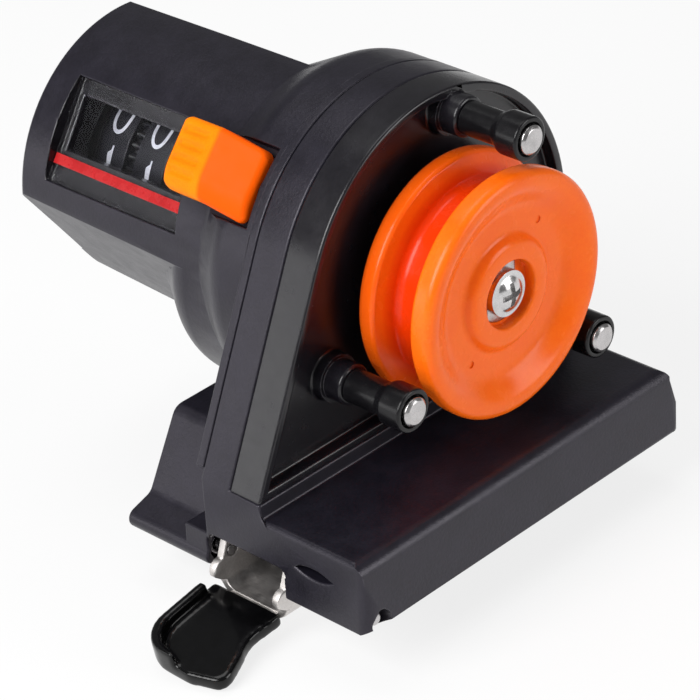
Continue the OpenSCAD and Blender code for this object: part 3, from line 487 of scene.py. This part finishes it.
drum_plastic = moulded_plastic(
    "drum_styrene", DRUM_DARK, DRUM_LIGHT, DRUM_WORN, gloss=(0.34, 0.5), specular=0.22)
white_ink = moulded_plastic("white_ink", INK_DARK, INK_LIGHT, INK_LIGHT, gloss=(0.4, 0.55), specular=0.4)
for drum, place in DRUM_AT.items():
    shell = merged_copy(drum + "_drum")
    round_edges(shell, DRUM_ROUND*MM)
    show(drum + "_drum_shell", shell, drum_plastic, drum + "_drum", [drum + "_drum"])
    show(drum + "_digits", printed_digits(place), white_ink, drum + "_drum", [])

# Window lens: a flat clear plate on the window's ledge, with a shallow groove for the index strip.
# Polished acrylic, pressed in from outside.
LENS_ROUND = 0.08
LENS_DARK = (0.94, 0.96, 0.97, 1)
LENS_LIGHT = (0.98, 0.985, 0.99, 1)
lens_material, tree, shader = new_material("clear_acrylic")
dust = put(tree, "ShaderNodeGroup", node_tree=MOULDED_GRAIN)
dust.inputs["Grain"].default_value = 1500.0
tree.links.new(two_tones(tree, dust.outputs["Tone"], LENS_DARK, LENS_LIGHT), shader.inputs["Base Color"])
haze = put(tree, "ShaderNodeMapRange", {0: dust.outputs["Gloss"], 3: 0.0, 4: 0.02})
tree.links.new(haze.outputs[0], shader.inputs["Roughness"])
ripple = put(tree, "ShaderNodeBump", {"Height": dust.outputs["Tone"], "Distance": 0.0004*MM, "Strength": 0.1})
tree.links.new(ripple.outputs[0], shader.inputs["Normal"])
shader.inputs["Transmission Weight"].default_value = 1.0
shader.inputs["IOR"].default_value = 1.18
let_through = put(tree, "ShaderNodeMixShader", {
    0: put(tree, "ShaderNodeLightPath").outputs["Is Shadow Ray"], 1: shader.outputs[0],
    2: put(tree, "ShaderNodeBsdfTransparent").outputs[0]})
ending = next(n for n in tree.nodes if n.type == "OUTPUT_MATERIAL")
tree.links.new(let_through.outputs[0], ending.inputs["Surface"])
lens = merged_copy("window_lens")
round_edges(lens, LENS_ROUND*MM)
show("window_lens_plate", lens, lens_material, "case", ["window_lens"])

# Index strip: the red line along the lens that marks the reading, laid in the lens's groove.
# A thin strip of glossy printed film.
STRIP_SHARE = 0.74
STRIP_ROUND = 0.08
STRIP_DARK = (0.36, 0.008, 0.010, 1)
STRIP_LIGHT = (0.48, 0.013, 0.015, 1)
STRIP_WORN = (0.55, 0.04, 0.04, 1)
red_film = moulded_plastic("red_film", STRIP_DARK, STRIP_LIGHT, STRIP_WORN, gloss=(0.22, 0.34), specular=0.5)
strip = merged_copy("index_strip")
bmesh.ops.transform(strip, matrix=to_window, verts=strip.verts)
upper = min(vert.co.y for vert in strip.verts)
for vert in strip.verts:
    vert.co.y = upper + STRIP_SHARE*(vert.co.y - upper)
bmesh.ops.transform(strip, matrix=to_window.inverted(), verts=strip.verts)
round_edges(strip, STRIP_ROUND*MM)
show("index_strip_film", strip, red_film, "case", ["index_strip"])

# Reset button: the ribbed orange pad beside the window, which slopes down towards the case.
# Satin moulded plastic on a stem with a retaining foot; a coil spring under it holds it up.
BUTTON_DARK = (0.86, 0.190, 0.0008, 1)
BUTTON_LIGHT = (0.94, 0.230, 0.0015, 1)
BUTTON_WORN = (1.0, 0.30, 0.006, 1)
# Painted shade: the sloping end of the pad is mixed to a darker, redder orange.
BUTTON_SLOPE_SHADE = (0.88, 0.100, 0.0004, 1)
SHADE_FROM = 17.0
SHADE_TO = 16.3
button_plastic = moulded_plastic(
    "orange_button_moulding", BUTTON_DARK, BUTTON_LIGHT, BUTTON_WORN, gloss=(0.42, 0.55), specular=0.07)
tree = button_plastic.node_tree
shader = next(n for n in tree.nodes if n.type == "BSDF_PRINCIPLED")
outside = shader.inputs["Base Color"].links[0].from_socket
# painted shade: a darker orange on the slope, masked by its place along the barrel
spot = put(tree, "ShaderNodeSeparateXYZ", {0: put(tree, "ShaderNodeTexCoord").outputs["Object"]})
slope_shade_mask = put(tree, "ShaderNodeMapRange", {0: spot.outputs["Y"], 1: SHADE_FROM*MM, 2: SHADE_TO*MM})
painted_shade = put(tree, "ShaderNodeMix", {0: slope_shade_mask.outputs[0], 6: outside, 7: BUTTON_SLOPE_SHADE}, data_type="RGBA")
tree.links.new(painted_shade.outputs[2], shader.inputs["Base Color"])
BUTTON_TILT = 40.0
BUTTON_Y = 10.0
BUTTON_LEN = 13.4
BUTTON_HALF = 4.9
BUTTON_TOP = 28.2
BUTTON_UNDER = 23.7
BUTTON_CORNER = 1.3
BUTTON_EDGE = 0.7
SLOPE_LEN = 6.6
SLOPE_DROP = 2.9
SLOPE_SHIFT = 0.7
RIDGE_SOFT = 0.4
FAR_DROP = 0.4
LOW_EDGE = 3.4
LOW_DROP = 1.3
RIB_COUNT = 4
RIB_PITCH = 1.9
RIB_HALF = 0.75
RIB_DEPTH = 0.42
STEM_SHORT = 0.02
STEM_ROUND = 0.2
BUTTON_ROWS = 72
BUTTON_COLUMNS = 56


def smooth_step(value):
    """0 to 1 with flat ends"""
    value = max(0.0, min(1.0, value))
    return value*value*(3 - 2*value)


def button_half(along):
    """Half of the pad's width at a place along it, less at its rounded corners"""
    short = max(0.0, BUTTON_CORNER - min(along, BUTTON_LEN - along))
    return BUTTON_HALF - BUTTON_CORNER + math.sqrt(max(0.0, BUTTON_CORNER**2 - short**2))


def button_height(along, across):
    """Height of the pad: a slope, a grooved top, a low front edge and soft edges all round"""
    down = math.hypot(max(0.0, SLOPE_LEN - along), RIDGE_SOFT) - RIDGE_SOFT
    beyond = (along - SLOPE_LEN)/(BUTTON_LEN - SLOPE_LEN)
    height = BUTTON_TOP - SLOPE_DROP*down/SLOPE_LEN - FAR_DROP*smooth_step(beyond)
    height -= LOW_DROP*max(0.0, (across - BUTTON_HALF + LOW_EDGE)/LOW_EDGE)**2
    lane = along - SLOPE_LEN - 0.9
    inside = smooth_step(lane/0.8)*smooth_step((BUTTON_LEN - 0.3 - along)/0.8)
    for rib in range(RIB_COUNT):
        off = abs(across - (rib - 1.65)*RIB_PITCH)
        height -= RIB_DEPTH*inside*smooth_step(1 - off/RIB_HALF)
    edge = min(along, BUTTON_LEN - along, button_half(along) - abs(across))
    short = max(0.0, BUTTON_EDGE - max(0.0, edge))
    return height - BUTTON_EDGE + math.sqrt(max(0.0, BUTTON_EDGE**2 - short**2))


button = bmesh.new()
bmesh.ops.create_grid(button, x_segments=BUTTON_ROWS, y_segments=BUTTON_COLUMNS, size=0.5)
for vert in button.verts:
    along = BUTTON_LEN*(0.5 - 0.5*math.cos(math.pi*(vert.co.x + 0.5)))
    across = 2*button_half(along)*math.sin(math.pi*vert.co.y)/2
    aside = SLOPE_SHIFT*max(0.0, 1 - along/SLOPE_LEN)
    vert.co = Vector((BUTTON_Y + along, across + aside, button_height(along, across)))*MM
rim = [edge for edge in button.edges if edge.is_boundary]
skirt = bmesh.ops.extrude_edge_only(button, edges=rim)["geom"]
for vert in (part for part in skirt if isinstance(part, bmesh.types.BMVert)):
    vert.co.z = BUTTON_UNDER*MM
bmesh.ops.holes_fill(button, edges=[edge for edge in button.edges if edge.is_boundary])
bmesh.ops.recalc_face_normals(button, faces=button.faces)
stem = merged_copy("reset_button")
bmesh.ops.transform(stem, matrix=on_barrel(BUTTON_TILT).inverted(), verts=stem.verts)
bmesh.ops.bisect_plane(stem, geom=stem.verts[:] + stem.edges[:] + stem.faces[:], plane_no=(0, 0, 1),
                       plane_co=(0, 0, (BUTTON_UNDER - STEM_SHORT)*MM), clear_outer=True)
bmesh.ops.holes_fill(stem, edges=[edge for edge in stem.edges if edge.is_boundary])
round_edges(stem, STEM_ROUND*MM)
stem_mesh = bpy.data.meshes.new("stem_part")
stem.to_mesh(stem_mesh)
stem.free()
button.from_mesh(stem_mesh)
bpy.data.meshes.remove(stem_mesh)
bmesh.ops.transform(button, matrix=on_barrel(BUTTON_TILT), verts=button.verts)
show("reset_button_pad", button, button_plastic, "button", ["reset_button"])
SPRING_DARK = (0.30, 0.30, 0.31, 1)
SPRING_LIGHT = (0.48, 0.48, 0.50, 1)
WIRE_SHARP = 60
spring_wire = bright_metal("spring_wire", SPRING_DARK, SPRING_LIGHT, gloss=(0.2, 0.36))
coil = merged_copy("reset_spring")
show("reset_spring_coil", coil, spring_wire, "case", ["reset_spring"], WIRE_SHARP)

# Pulley: the orange wheel that the line turns, with a deep groove, a dished front face and a keyed hub.
# Acetal, smooth from its mould, with painted shade: a darker red in the groove and towards the rear flange;
# two small ejector marks in the dish.
PULLEY_STEPS = 160
BOWL_SIDE = tuple((11.0 + 4.4*step/10, -14.2 - 2.0*smooth_step(step/10), 0) for step in range(11))
PULLEY_SIDE = (
    (4.33, -13.6, 0), (4.7, -13.6, 0), (4.7, -15.4, 0.35), (7.2, -15.4, 0.6), (8.1, -14.2, 0.45),
    (9.8, -14.2, 0), (10.3, -14.2, 0), (10.8, -14.2, 0)) + BOWL_SIDE + (
    (17.0, -16.2, 1.1), (16.95, -13.1, 0.5), (13.25, -11.95, 0.9), (13.25, -7.75, 0.9), (16.95, -6.6, 0.5),
    (17.0, -3.9, 1.1), (14.6, -3.9, 0.25), (13.6, -4.7, 0.25), (4.33, -4.7, 0))
KEY_FLAT = 2.83
KEY_BORE = 4.34
DISH_FLOOR = -14.2
DIMPLE_R = 0.5
DIMPLE_AT = 10.3
DIMPLE_DEPTH = 0.2
DIMPLE_ANGLES = (132.0, 312.0)
PULLEY_DARK = (0.97, 0.132, 0.004, 1)
PULLEY_LIGHT = (1.0, 0.160, 0.006, 1)
PULLEY_WORN = (1.0, 0.20, 0.025, 1)
# Painted shade: the groove and the rear flange are mixed towards a dark red.
GROOVE_SHADE_RED = (0.72, 0.036, 0.0006, 1)
GROOVE_SHADE_SPAN = (16.6, 13.8)
GROOVE_FRONT = -13.1
GROOVE_BACK = -6.6
GROOVE_SOFT = 0.6
REAR_SHADE = 0.3


def turned(side, steps, at=(0.0, 0.0), closed=True):
    """Spins a side view (radius, y, rounding) round the pulley's axis or another, and rounds its rings"""
    middle = Vector((at[0]*MM, 0, (AXLE_Z + at[1])*MM))
    form = bmesh.new()
    verts = [form.verts.new(middle + Vector((r*MM, y*MM, 0))) for r, y, _ in side]
    pairs = list(zip(verts, verts[1:])) + ([(verts[-1], verts[0])] if closed else [])
    edges = [form.edges.new(pair) for pair in pairs]
    bmesh.ops.spin(form, geom=verts + edges, cent=middle, axis=(0, 1, 0), angle=math.tau, steps=steps,
                   use_merge=True)
    bmesh.ops.remove_doubles(form, verts=form.verts, dist=0.002*MM)
    bmesh.ops.recalc_face_normals(form, faces=form.faces)
    rounds = []
    for r, y, rounding in side:
        if rounding:
            target = Vector((r*MM, y*MM))

            def on_ring(vert):
                across = Vector((vert.co.x - middle.x, vert.co.z - middle.z)).length
                return (Vector((across, vert.co.y)) - target).length < 0.003*MM

            rounds.append((rounding, [e for e in form.edges if on_ring(e.verts[0]) and on_ring(e.verts[1])]))
    for rounding, ring in rounds:
        bmesh.ops.bevel(form, geom=ring, offset=rounding*MM, offset_type="OFFSET", segments=4, profile=0.5,
                        affect="EDGES", clamp_overlap=False, material=-1)
    return form


acetal_orange = moulded_plastic(
    "orange_acetal", PULLEY_DARK, PULLEY_LIGHT, PULLEY_WORN, gloss=(0.20, 0.30), specular=0.24, grain=2400.0,
    depth=0.004, wear=0.2)
tree = acetal_orange.node_tree
shader = next(n for n in tree.nodes if n.type == "BSDF_PRINCIPLED")
outside = shader.inputs["Base Color"].links[0].from_socket
# painted shade: masks by radius and by place along the axis darken the groove and the rear flange to red
spot = put(tree, "ShaderNodeSeparateXYZ", {0: put(tree, "ShaderNodeTexCoord").outputs["Object"]})
height = put(tree, "ShaderNodeMath", {0: spot.outputs["Z"], 1: AXLE_Z*MM}, operation="SUBTRACT")
flat = put(tree, "ShaderNodeCombineXYZ", {"X": spot.outputs["X"], "Z": height.outputs[0]})
radius = put(tree, "ShaderNodeVectorMath", {0: flat.outputs[0]}, operation="LENGTH")
depth = put(tree, "ShaderNodeMapRange", {
    0: radius.outputs["Value"], 1: GROOVE_SHADE_SPAN[0]*MM, 2: GROOVE_SHADE_SPAN[1]*MM})
behind = put(tree, "ShaderNodeMapRange", {
    0: spot.outputs["Y"], 1: GROOVE_FRONT*MM, 2: (GROOVE_FRONT + GROOVE_SOFT)*MM})
before = put(tree, "ShaderNodeMapRange", {
    0: spot.outputs["Y"], 1: GROOVE_BACK*MM, 2: (GROOVE_BACK - GROOVE_SOFT)*MM})
between = put(tree, "ShaderNodeMath", {0: behind.outputs[0], 1: before.outputs[0]}, operation="MULTIPLY")
groove_shade_mask = put(tree, "ShaderNodeMath", {0: depth.outputs[0], 1: between.outputs[0]}, operation="MULTIPLY")
rear = put(tree, "ShaderNodeMapRange", {
    0: spot.outputs["Y"], 1: GROOVE_FRONT*MM, 2: GROOVE_BACK*MM, 3: 0.0, 4: REAR_SHADE})
painted_shade = put(tree, "ShaderNodeMath", {0: groove_shade_mask.outputs[0], 1: rear.outputs[0]}, operation="MAXIMUM")
shaded_colour = put(tree, "ShaderNodeMix", {0: painted_shade.outputs[0], 6: outside, 7: GROOVE_SHADE_RED}, data_type="RGBA")
tree.links.new(shaded_colour.outputs[2], shader.inputs["Base Color"])
pulley = turned(PULLEY_SIDE, PULLEY_STEPS)
for vert in pulley.verts:
    if math.hypot(vert.co.x, vert.co.z - AXLE_Z*MM) < KEY_BORE*MM:
        vert.co.x = max(-KEY_FLAT*MM, min(KEY_FLAT*MM, vert.co.x))
for angle in DIMPLE_ANGLES:
    turn = math.radians(angle)
    heart = Vector((DIMPLE_AT*math.cos(turn), DISH_FLOOR, AXLE_Z - DIMPLE_AT*math.sin(turn)))*MM
    floor_faces = [f for f in pulley.faces if (f.calc_center_median() - heart).length < 1.3*DIMPLE_R*MM]
    border = [e for f in floor_faces for e in f.edges if sum(o in floor_faces for o in e.link_faces) == 1]
    for vert in {v for e in border for v in e.verts}:
        vert.co = heart + (vert.co - heart).normalized()*DIMPLE_R*MM
    sunk = bmesh.ops.extrude_face_region(pulley, geom=floor_faces)["geom"]
    bmesh.ops.delete(pulley, geom=floor_faces, context="FACES")
    for vert in (part for part in sunk if isinstance(part, bmesh.types.BMVert)):
        vert.co.y += DIMPLE_DEPTH*MM
show("pulley_wheel", pulley, acetal_orange, "pulley", ["pulley"])

# Pulley shaft and screw: the keyed head that drives the pulley, and the plated cross-head screw on it.
# Ground steel; the flats of the key show above and below the screw's head.
SHAFT_ROUND = 0.1
shaft = merged_copy("pulley_shaft")
round_edges(shaft, SHAFT_ROUND*MM)
show("pulley_shaft_key", shaft, ground_steel, "pulley", ["pulley_shaft"])
screw = merged_copy("pulley_screw", whole=False)
show("pulley_screw_head", screw, screw_steel, "pulley", ["pulley_screw"])

# Guide posts: three headed steel pins, pressed into the cover's bosses, each with a black roller on it.
# Bright ground pins with a chamfered head; rollers of smooth black acetal with a thicker end collar.
POST_R = 21.45
POST_ANGLE = {"top": 80.3, "left": 200.3, "right": 320.3}
POST_STEPS = 64
PIN_SIDE = (
    (0, -16.85, 0), (1.6, -16.85, 0.06), (2.0, -16.5, 0.08), (2.0, -15.25, 0.05), (1.2, -15.25, 0),
    (1.2, -0.2, 0.1), (0, -0.2, 0))
ROLLER_SIDE = (
    (1.25, -15.2, 0), (2.3, -15.2, 0), (2.3, -16.2, 0.12), (3.0, -16.2, 0.3), (3.0, -12.5, 0.5),
    (2.3, -11.85, 0.5), (2.3, -6.05, 0.15), (1.25, -6.05, 0.05))
ROLLER_DARK = (0.0032, 0.0030, 0.0036, 1)
ROLLER_LIGHT = (0.0060, 0.0056, 0.0068, 1)
ROLLER_WORN = (0.050, 0.048, 0.052, 1)
roller_plastic = moulded_plastic(
    "black_acetal", ROLLER_DARK, ROLLER_LIGHT, ROLLER_WORN, gloss=(0.18, 0.28), specular=0.3, depth=0.004)
pins = bmesh.new()
for side, angle in POST_ANGLE.items():
    at = (POST_R*math.cos(math.radians(angle)), POST_R*math.sin(math.radians(angle)))
    pin = turned(PIN_SIDE, POST_STEPS, at, closed=False)
    part = bpy.data.meshes.new("pin_part")
    pin.to_mesh(part)
    pin.free()
    pins.from_mesh(part)
    bpy.data.meshes.remove(part)
    show(side + "_roller_sleeve", turned(ROLLER_SIDE, POST_STEPS, at), roller_plastic, side + "_roller",
         [side + "_roller"])
show("guide_pin_set", pins, ground_steel, "case", ["guide_pins"], 30)

# Clamp lever: a pressed channel of nickel-plated sheet that straddles the rod, on two stub pins in the base.
# Two coils round the pins press its jaw up against the rod.
LEVER_ROUND = 0.2
STUB_ROUND = 0.15
LEVER_DARK = (0.60, 0.57, 0.55, 1)
LEVER_LIGHT = (0.76, 0.73, 0.71, 1)
lever_steel = bright_metal("nickel_sheet", LEVER_DARK, LEVER_LIGHT, gloss=(0.42, 0.58), fine=4000.0)
lever = merged_copy("clamp_lever")
round_edges(lever, LEVER_ROUND*MM)
show("clamp_lever_sheet", lever, lever_steel, "lever", ["clamp_lever"])
stubs = merged_copy("pivot_pins")
round_edges(stubs, STUB_ROUND*MM)
show("pivot_pin_pair", stubs, ground_steel, "case", ["pivot_pins"])
coils = merged_copy("lever_springs")
show("lever_spring_pair", coils, spring_wire, "case", ["lever_springs"], WIRE_SHARP)

# Lever grip: the black handle dipped over the lever's tongue, flared at the front and turned up at the rear.
# Glossy soft vinyl, which rounds every edge as it cures.
GRIP_DARK = (0.0015, 0.0015, 0.0017, 1)
GRIP_LIGHT = (0.0030, 0.0030, 0.0034, 1)
GRIP_WORN = (0.006, 0.006, 0.0065, 1)
GRIP_CELL = 0.2
GRIP_MELT = 60
grip_vinyl = moulded_plastic(
    "dipped_vinyl", GRIP_DARK, GRIP_LIGHT, GRIP_WORN, gloss=(0.10, 0.18), specular=0.3, grain=700.0,
    depth=0.008, wear=0.05)
grip = show("lever_grip_dip", merged_copy("lever_grip"), grip_vinyl, "lever", ["lever_grip"])
grip.modifiers.clear()
skin = grip.modifiers.new("vinyl_skin", "REMESH")
skin.mode = "VOXEL"
skin.voxel_size = GRIP_CELL*MM
skin.use_smooth_shade = True
melt = grip.modifiers.new("melt", "SMOOTH")
melt.factor = 0.5
melt.iterations = GRIP_MELT

# Rod pads: two rubber strips that hold the rod, one on the jaw and one under the channel's roof.
# Soft matt rubber, hollowed to the rod's radius and glued in.
PAD_ROUND = 0.2
PAD_DARK = (0.012, 0.012, 0.012, 1)
PAD_LIGHT = (0.024, 0.024, 0.024, 1)
PAD_WORN = (0.045, 0.045, 0.045, 1)
pad_rubber = moulded_plastic(
    "pad_rubber", PAD_DARK, PAD_LIGHT, PAD_WORN, gloss=(0.62, 0.8), specular=0.3, grain=2600.0, depth=0.03)
for pad, body in (("jaw_pad", "lever"), ("rod_pad", "case")):
    strip = merged_copy(pad)
    round_edges(strip, PAD_ROUND*MM)
    show(pad + "_rubber", strip, pad_rubber, body, [pad])

# Studio: a white floor at the height of the lowest point, soft light mostly from the left, and a long lens.
# The floor is white to the camera and in reflections, the world to the camera; other rays see them plain.
FLOOR_SIZE = 3.0
FLOOR_DARK = (0.85, 0.85, 0.85, 1)
FLOOR_COLOUR = (0.86, 0.86, 0.86, 1)
FLOOR_SHOW = 0.8
WORLD_FILL = 0.21


def seen_directly(tree, *kinds):
    """1 for rays from the camera and for the other kinds of ray that are named"""
    path = put(tree, "ShaderNodeLightPath").outputs
    seen = path["Is Camera Ray"]
    for kind in kinds:
        seen = put(tree, "ShaderNodeMath", {0: seen, 1: path[kind]}, operation="MAXIMUM").outputs[0]
    return seen


floor_bm = bmesh.new()
bmesh.ops.create_grid(floor_bm, x_segments=8, y_segments=8, size=FLOOR_SIZE/2)
bmesh.ops.translate(floor_bm, verts=floor_bm.verts, vec=(0, 0, cad_box[0][2]))
floor_mesh = bpy.data.meshes.new("studio_floor")
floor_bm.to_mesh(floor_mesh)
floor_bm.free()
floor_material, tree, shader = new_material("white_floor")
paper = put(tree, "ShaderNodeTexNoise", {
    "Vector": put(tree, "ShaderNodeTexCoord").outputs["Object"], "Scale": 40.0, "Detail": 2.0})
tree.links.new(two_tones(tree, paper.outputs["Fac"], FLOOR_DARK, FLOOR_COLOUR), shader.inputs["Base Color"])
shader.inputs["Roughness"].default_value = 0.9
shader.inputs["Specular IOR Level"].default_value = 0.0
direct = seen_directly(tree, "Is Glossy Ray", "Is Transmission Ray")
share = put(tree, "ShaderNodeMath", {0: direct, 1: FLOOR_SHOW}, operation="MULTIPLY")
white = put(tree, "ShaderNodeEmission", {"Color": (1, 1, 1, 1), "Strength": 1.0})
mixed = put(tree, "ShaderNodeMixShader", {0: share.outputs[0], 1: shader.outputs[0], 2: white.outputs[0]})
ending = next(n for n in tree.nodes if n.type == "OUTPUT_MATERIAL")
tree.links.new(mixed.outputs[0], ending.inputs["Surface"])
floor_mesh.materials.append(floor_material)
floor = bpy.data.objects.new("studio_floor", floor_mesh)
bpy.context.scene.collection.objects.link(floor)

world = bpy.data.worlds.new("studio_world")
bpy.context.scene.world = world
world.use_nodes = True
tree = world.node_tree
tree.nodes.clear()
plain = put(tree, "ShaderNodeBackground", {"Color": (1, 1, 1, 1), "Strength": WORLD_FILL})
bright = put(tree, "ShaderNodeBackground", {"Color": (1, 1, 1, 1), "Strength": 1.0})
direct = seen_directly(tree, "Is Transmission Ray")
choice = put(tree, "ShaderNodeMixShader", {0: direct, 1: plain.outputs[0], 2: bright.outputs[0]})
put(tree, "ShaderNodeOutputWorld", {"Surface": choice.outputs[0]})

MIDDLE = Vector((-0.005, 0.015, 0.025))
LAMPS = (
    ("key_lamp", (-0.62, 0.06, 0.48), (0.5, 0.5), 6.8),
    ("side_lamp", (-0.60, 0.48, 0.08), (0.35, 0.2), 0.5),
    ("top_lamp", (0.05, 0.20, 0.75), (0.4, 0.4), 1.3),
    ("front_lamp", (0.36, -0.70, 0.26), (0.35, 0.45), 2.6))
for name, place, size, power in LAMPS:
    lamp = bpy.data.lights.new(name, "AREA")
    lamp.shape = "RECTANGLE"
    lamp.size, lamp.size_y = size
    lamp.energy = power
    holder = bpy.data.objects.new(name, lamp)
    holder.location = place
    holder.rotation_euler = (MIDDLE - Vector(place)).to_track_quat("-Z", "Y").to_euler()
    bpy.context.scene.collection.objects.link(holder)

CAMERA_BACK = Vector((-0.6088, -0.6090, 0.5085))
CAMERA_TARGET = Vector((-30.7, -16.2, 37.7))*MM
CAMERA_DISTANCE = 0.42613
CAMERA_ROLL = -3.65
lens_data = bpy.data.cameras.new("camera")
lens_data.lens = 180
lens_data.sensor_width = 36
camera = bpy.data.objects.new("camera", lens_data)
camera.location = CAMERA_TARGET + CAMERA_BACK.normalized()*CAMERA_DISTANCE
level = (-CAMERA_BACK).to_track_quat("-Z", "Y")
camera.rotation_euler = (level @ Quaternion((0, 0, 1), math.radians(CAMERA_ROLL))).to_euler()
bpy.context.scene.collection.objects.link(camera)
bpy.context.scene.camera = camera
bpy.context.scene.view_settings.view_transform = "Standard"
